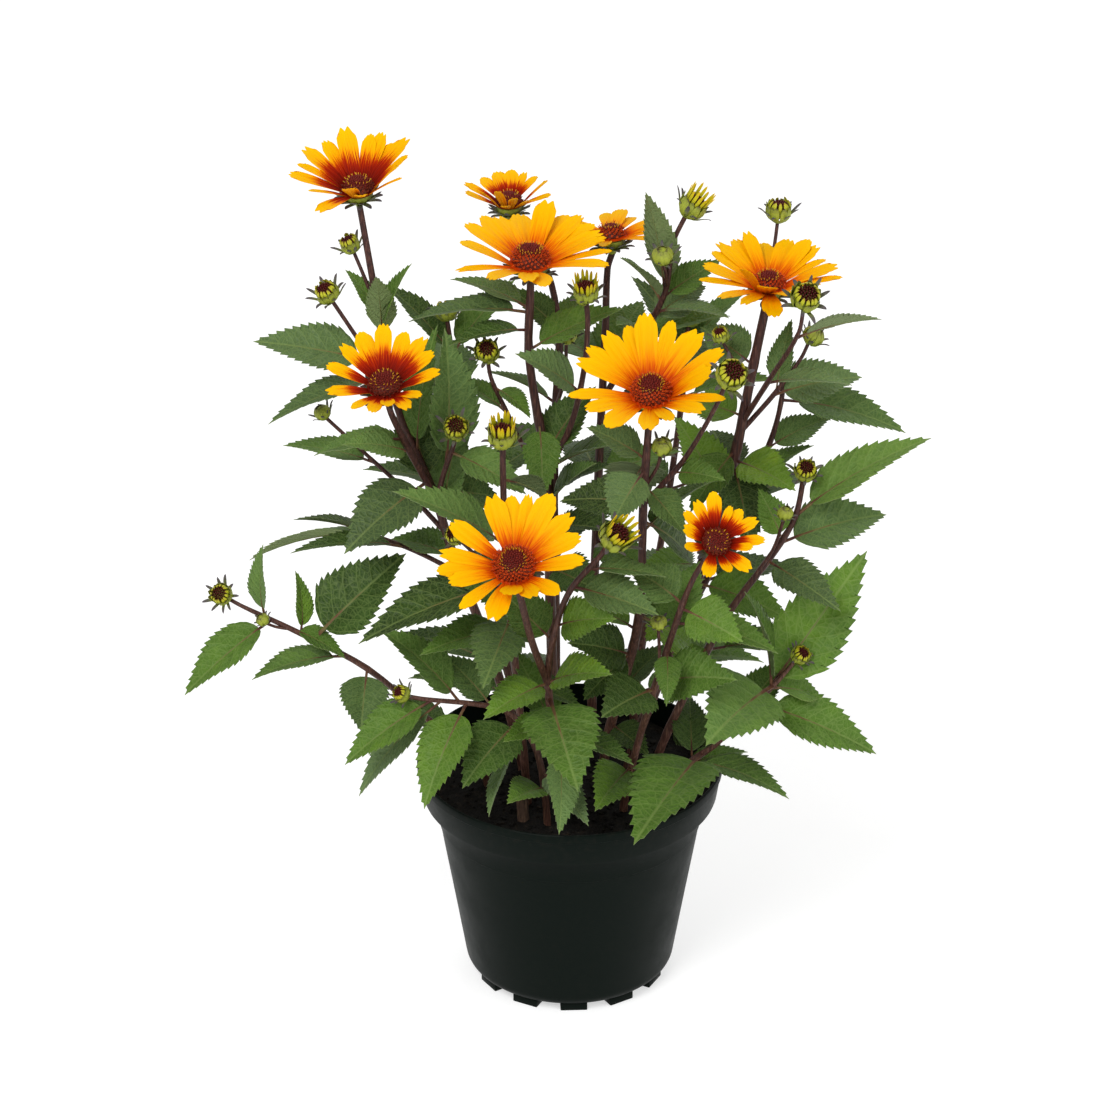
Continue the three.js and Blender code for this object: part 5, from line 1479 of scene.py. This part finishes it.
golden = ray_finish("golden_petal", [
    (0.0, (0.5, 0.04, 0.001)), (0.13, (0.68, 0.1, 0.0)), (0.28, (0.82, 0.25, 0.0)),
    (0.48, (0.87, 0.385, 0.0)), (1.0, (0.88, 0.49, 0.0)),
])
burnt = ray_finish("burnt_petal", [
    (0.0, (0.12, 0.004, 0.001)), (0.26, (0.27, 0.009, 0.001)), (0.42, (0.46, 0.028, 0.0)),
    (0.5, (0.8, 0.22, 0.0)), (0.58, (0.87, 0.4, 0.0)), (1.0, (0.88, 0.5, 0.0)),
])
petal_back = ray_finish("petal_back", [
    (0.0, (0.45, 0.12, 0.0)), (0.4, (0.78, 0.28, 0.0)), (1.0, (0.88, 0.4, 0.0)),
], roughness=0.6)
BURNT_BLOOMS = ("bloom_upper_left", "bloom_back_left", "bloom_left", "bloom_lower_right")
models = {
    skin: [ray_model(teeth, (skin, petal_back)) for teeth in (THREE_TEETH, TWO_TEETH, BLUNT_TIP)]
    for skin in (golden, burnt)
}


def ray_rule(head, bloom, index):
    """The rule that takes a point of the flat ray to its place on a bloom."""
    way, full_reach, slope, full_width = bloom["rays"][index]
    reach = RAY_REACH * full_reach
    width = RAY_BREADTH * full_width * min(1, 0.5 + reach / 64)
    angle, rise = math.radians(way), math.radians(slope)
    lift = RAY_LIFT if index % 2 else 0
    twist = RAY_TWIST * wobble(way, index)
    sway = 0.04 * reach * wobble(way + 5, index)
    curl = 0.02 * reach * (1 + wobble(way + 6, index))
    dish = 0.1 + 0.05 * wobble(way + 3, index)

    def move(points):
        along = points[:, 0] / MM / RAY_LENGTH
        share = points[:, 1] / MM / (RAY_WIDTH / 2)
        across = share * width / 2
        out = bloom["disc"][0] + PLATE_MARGIN - RAY_ROOT_DEPTH + reach * along * math.cos(rise)
        up = (
            reach * (math.sin(rise) * along - RAY_DROOP * along**2)
            + along * (lift + twist * across)
            - curl * along**4
            + dish * width * share**2 * (1 - 0.7 * along)
            - RAY_SINK * along
            + points[:, 2] / MM
        )
        side = across + sway * along**2
        right = out * math.cos(angle) - side * math.sin(angle)
        back = out * math.sin(angle) + side * math.cos(angle)
        return head.place(right, back, up)

    return move


for name, bloom in HEADS.items():
    head = bloom_head(bloom)
    radius = bloom["disc"][0] + PLATE_MARGIN
    rings = [(-PLATE_HALF, 0.8 * radius), (-0.3, radius), (0.3, radius), (PLATE_HALF, 0.8 * radius)]
    plate = drawn_up(rings, 32)
    shape_points(plate, head.carry)
    lay_uv(plate, lambda p: (0, 0.5))
    skin = burnt if name in BURNT_BLOOMS else golden
    plate.data.materials.append(skin)
    mark(plate, "own", 0.5)
    pieces = [plate]
    for index in range(len(bloom["rays"])):
        model = models[skin][TIP_ORDER[index % len(TIP_ORDER)]]
        copy = own_copy(model, "ray", ray_rule(head, bloom, index))
        mark(copy, "own", 0.5 + 0.5 * wobble(bloom["at"][0] + 7, index))
        pieces.append(copy)
    rays = joined(name + "_petals", pieces)
    smoothed(rays, 50)
    stands_for(rays, "burnt_rays" if name in BURNT_BLOOMS else "golden_rays", name + "_rays")
for model in sum(models.values(), []):
    bpy.data.objects.remove(model)


# Discs
# The middle of a bloom is a dome of many small florets in spirals. The outer ones are open, then comes a
# ring whose yellow stigmas stand out, and the ones in the middle are still dark red beads.
FLORET_PITCH = 1.45
FLORET_RADIUS = 0.66
OPEN_FROM = 0.64
STIGMA_FROM = 0.5
BURNT_OPEN_FROM = 0.8
DISC_FLOOR = 1.0
DISC_EDGE = 0.7
CORE_SHARE = 0.94
CORE_SHARES = (0.97, 0.88, 0.74, 0.56, 0.36, 0.16)
CORE_DEPTH = 2.2
FLORET_ROOT = 0.2
CROWDING = 1.25
EDGE_LEAN = math.radians(78)


def floret_skin(name, low, high):
    """A mottled skin between two colours."""
    material = finish(name, 0.55, Specular_IOR_Level=0.2)
    mottle = clouds(material, put(material, "TexCoord").outputs["Object"], 700, 3)
    feed(material, "Base Color", ramped(material, mottle, [(0.3, low), (0.7, high)]))
    emboss(material, mottle, 0.3, 0.0002)
    return material


bead_skin = floret_skin("shut_floret", (0.09, 0.006, 0.005), (0.2, 0.018, 0.01))
corolla_skin = floret_skin("open_floret", (0.42, 0.032, 0.008), (0.8, 0.12, 0.01))
dark_corolla_skin = floret_skin("dark_open_floret", (0.12, 0.01, 0.008), (0.32, 0.05, 0.02))
anther_skin = floret_skin("anther_tube", (0.06, 0.008, 0.005), (0.16, 0.03, 0.012))
stigma_skin = floret_skin("yellow_stigma", (0.62, 0.3, 0.01), (0.85, 0.5, 0.03))

# An open floret: a small tube with five turned-out lobes, and a dark anther tube in it
bpy.ops.mesh.primitive_circle_add(vertices=10, radius=0.4, fill_type="NGON")
open_floret = bpy.context.object
bpy.ops.object.mode_set(mode="EDIT")
for climb, growth in ((1.1, 1.25), (0.5, 1.45)):
    bpy.ops.mesh.extrude_region_move(TRANSFORM_OT_translate={"value": (0, 0, climb)})
    bpy.ops.transform.resize(value=(growth, growth, 1), center_override=(0, 0, 0))
bpy.ops.mesh.inset(thickness=0.22)
bpy.ops.transform.translate(value=(0, 0, -0.45))
facing_out()
for vertex in open_floret.data.vertices:
    lobe = math.cos(5 * math.atan2(vertex.co.y, vertex.co.x))
    if vertex.co.z > 1.5:
        vertex.co.x *= 1 + 0.2 * lobe
        vertex.co.y *= 1 + 0.2 * lobe
        vertex.co.z -= 0.18 * lobe
open_floret.data.materials.append(corolla_skin)
anthers = drawn_up([(1000, 240), (2100, 240), (2350, 120)], 5)
anthers.data.materials.append(anther_skin)
floret = joined("open_floret_model", [open_floret, anthers])

# Two stigma branches that curl apart out of a floret's tube
stigma = drawn_up([(0, 150), (1500, 150), (2300, 130), (2700, 60)], 4)
other = own_copy(stigma, "other")
for branch, side in ((stigma, 0.2), (other, -0.2)):
    shape_points(branch, lambda p: p + np.outer(side * np.maximum(p[:, 2] - 1.2, 0) ** 2.2, (1, 0, 0)))
    branch.data.materials.append(stigma_skin)
stigma = joined("stigma_model", [stigma, other])
thread = own_copy(stigma, "thread_model")
thread.data.materials[0] = corolla_skin
dark_floret = own_copy(floret, "dark_floret_model")
dark_floret.data.materials[0] = dark_corolla_skin


def standing(model, head, spot, lean, turn, size, height):
    """A copy of a floret model that stands on the dome, leaning outwards."""
    way = np.array(spot[:2]) / max(math.hypot(*spot[:2]), 0.01)
    upward = np.array((way[0] * math.sin(lean), way[1] * math.sin(lean), math.cos(lean)))
    first = unit(np.cross(upward, (-way[1], way[0], 0)))
    second = np.cross(upward, first)
    across = first * math.cos(turn) + second * math.sin(turn)
    along = np.cross(upward, across)

    def move(points):
        local = points * (size, size, height) @ np.array((across, along, upward)) + spot
        return head.place(*local.T)

    return own_copy(model, "floret", move)


def dome(share, climb):
    """How high the dome stands at a share of the way out to the disc's edge."""
    return DISC_FLOOR + climb * max(0, 1 - share**3) ** 0.8


draw = random.Random(33)
grain.data.materials.clear()
grain.data.materials.append(bead_skin)
for name, bloom in HEADS.items():
    head = bloom_head(bloom)
    radius, height = bloom["disc"]
    burnt_disc = name in BURNT_BLOOMS
    climb = height - CORE_DEPTH
    wide = CORE_SHARE * radius
    rings = [(DISC_FLOOR, wide)] + [(dome(share, climb), wide * share) for share in CORE_SHARES]
    core = drawn_up(rings, 28)
    shape_points(core, head.carry)
    core.data.materials.append(anther_skin)
    pieces = [core]
    count = round(CROWDING * math.pi * radius**2 / FLORET_PITCH**2)
    for i in range(count):
        share = math.sqrt((i + 0.5) / count)
        angle = i * GOLDEN_ANGLE
        reach = (radius - DISC_EDGE) * share
        spot = (reach * math.cos(angle), reach * math.sin(angle), dome(share, climb) - FLORET_ROOT)
        lean = EDGE_LEAN * share**2.6
        turn = draw.uniform(0, ANY_TURN)
        grow = draw.uniform(0.88, 1.12)
        if share < STIGMA_FROM:
            pieces.append(standing(grain, head, spot, lean, turn, FLORET_RADIUS * grow, 1.5 * grow))
        elif share < OPEN_FROM or burnt_disc and share < BURNT_OPEN_FROM:
            pieces.append(standing(grain, head, spot, lean, turn, 0.6 * grow, 1.5 * grow))
            if i % 2 == 0 or not burnt_disc:
                pieces.append(standing(stigma, head, spot, lean, turn, 1, 0.95 * grow))
        elif burnt_disc:
            pieces.append(standing(dark_floret, head, spot, lean, turn, 0.95, 0.85 * grow))
        else:
            pieces.append(standing(floret, head, spot, lean, turn, 0.95, 0.85 * grow))
            if i % 2:
                pieces.append(standing(thread, head, spot, lean, turn + 1, 1.4, 1.05 * grow))
    disc = joined(name + "_florets", pieces)
    smoothed(disc, 50)
    stands_for(disc, "florets", name + "_disc")
for model in (grain, floret, dark_floret, stigma, thread, bract):
    bpy.data.objects.remove(model)


# Floor and light
# A plain pale floor, a large soft light from the upper left in front, a wide fill, and an even sky.
FLOOR_SIZE = 14
LIGHT_AIM = Vector((0, 0, 0.28))
SKY_STRENGTH = 0.5

bpy.ops.mesh.primitive_plane_add(size=FLOOR_SIZE)
floor = bpy.context.object
floor.name = "floor"
paper = finish(
    "pale_floor", 0.9, Base_Color=(0.6, 0.6, 0.6, 1), Specular_IOR_Level=0.1,
    Emission_Color=(1, 1, 1, 1), Emission_Strength=0.56,
)
floor.data.materials.append(paper)


def soft_light(name, place, size, power):
    """A square soft box that faces the plant."""
    bpy.ops.object.light_add(type="AREA", location=place)
    light = bpy.context.object
    light.name = name
    light.data.size = size
    light.data.energy = power
    light.rotation_euler = (LIGHT_AIM - Vector(place)).to_track_quat("-Z", "Y").to_euler()


soft_light("key_light", (-1.0, -1.9, 2.5), size=1.3, power=56)
soft_light("fill_light", (1.7, -1.5, 1.3), size=1.8, power=18)
soft_light("back_light", (0.5, 1.9, 2.0), size=1.6, power=14)
sky = bpy.data.worlds.new("sky")
sky.use_nodes = True
backdrop = sky.node_tree.nodes["Background"]
backdrop.inputs["Color"].default_value = (1, 1, 1, 1)
backdrop.inputs["Strength"].default_value = SKY_STRENGTH
bpy.context.scene.world = sky
bpy.context.scene.view_settings.view_transform = "Standard"
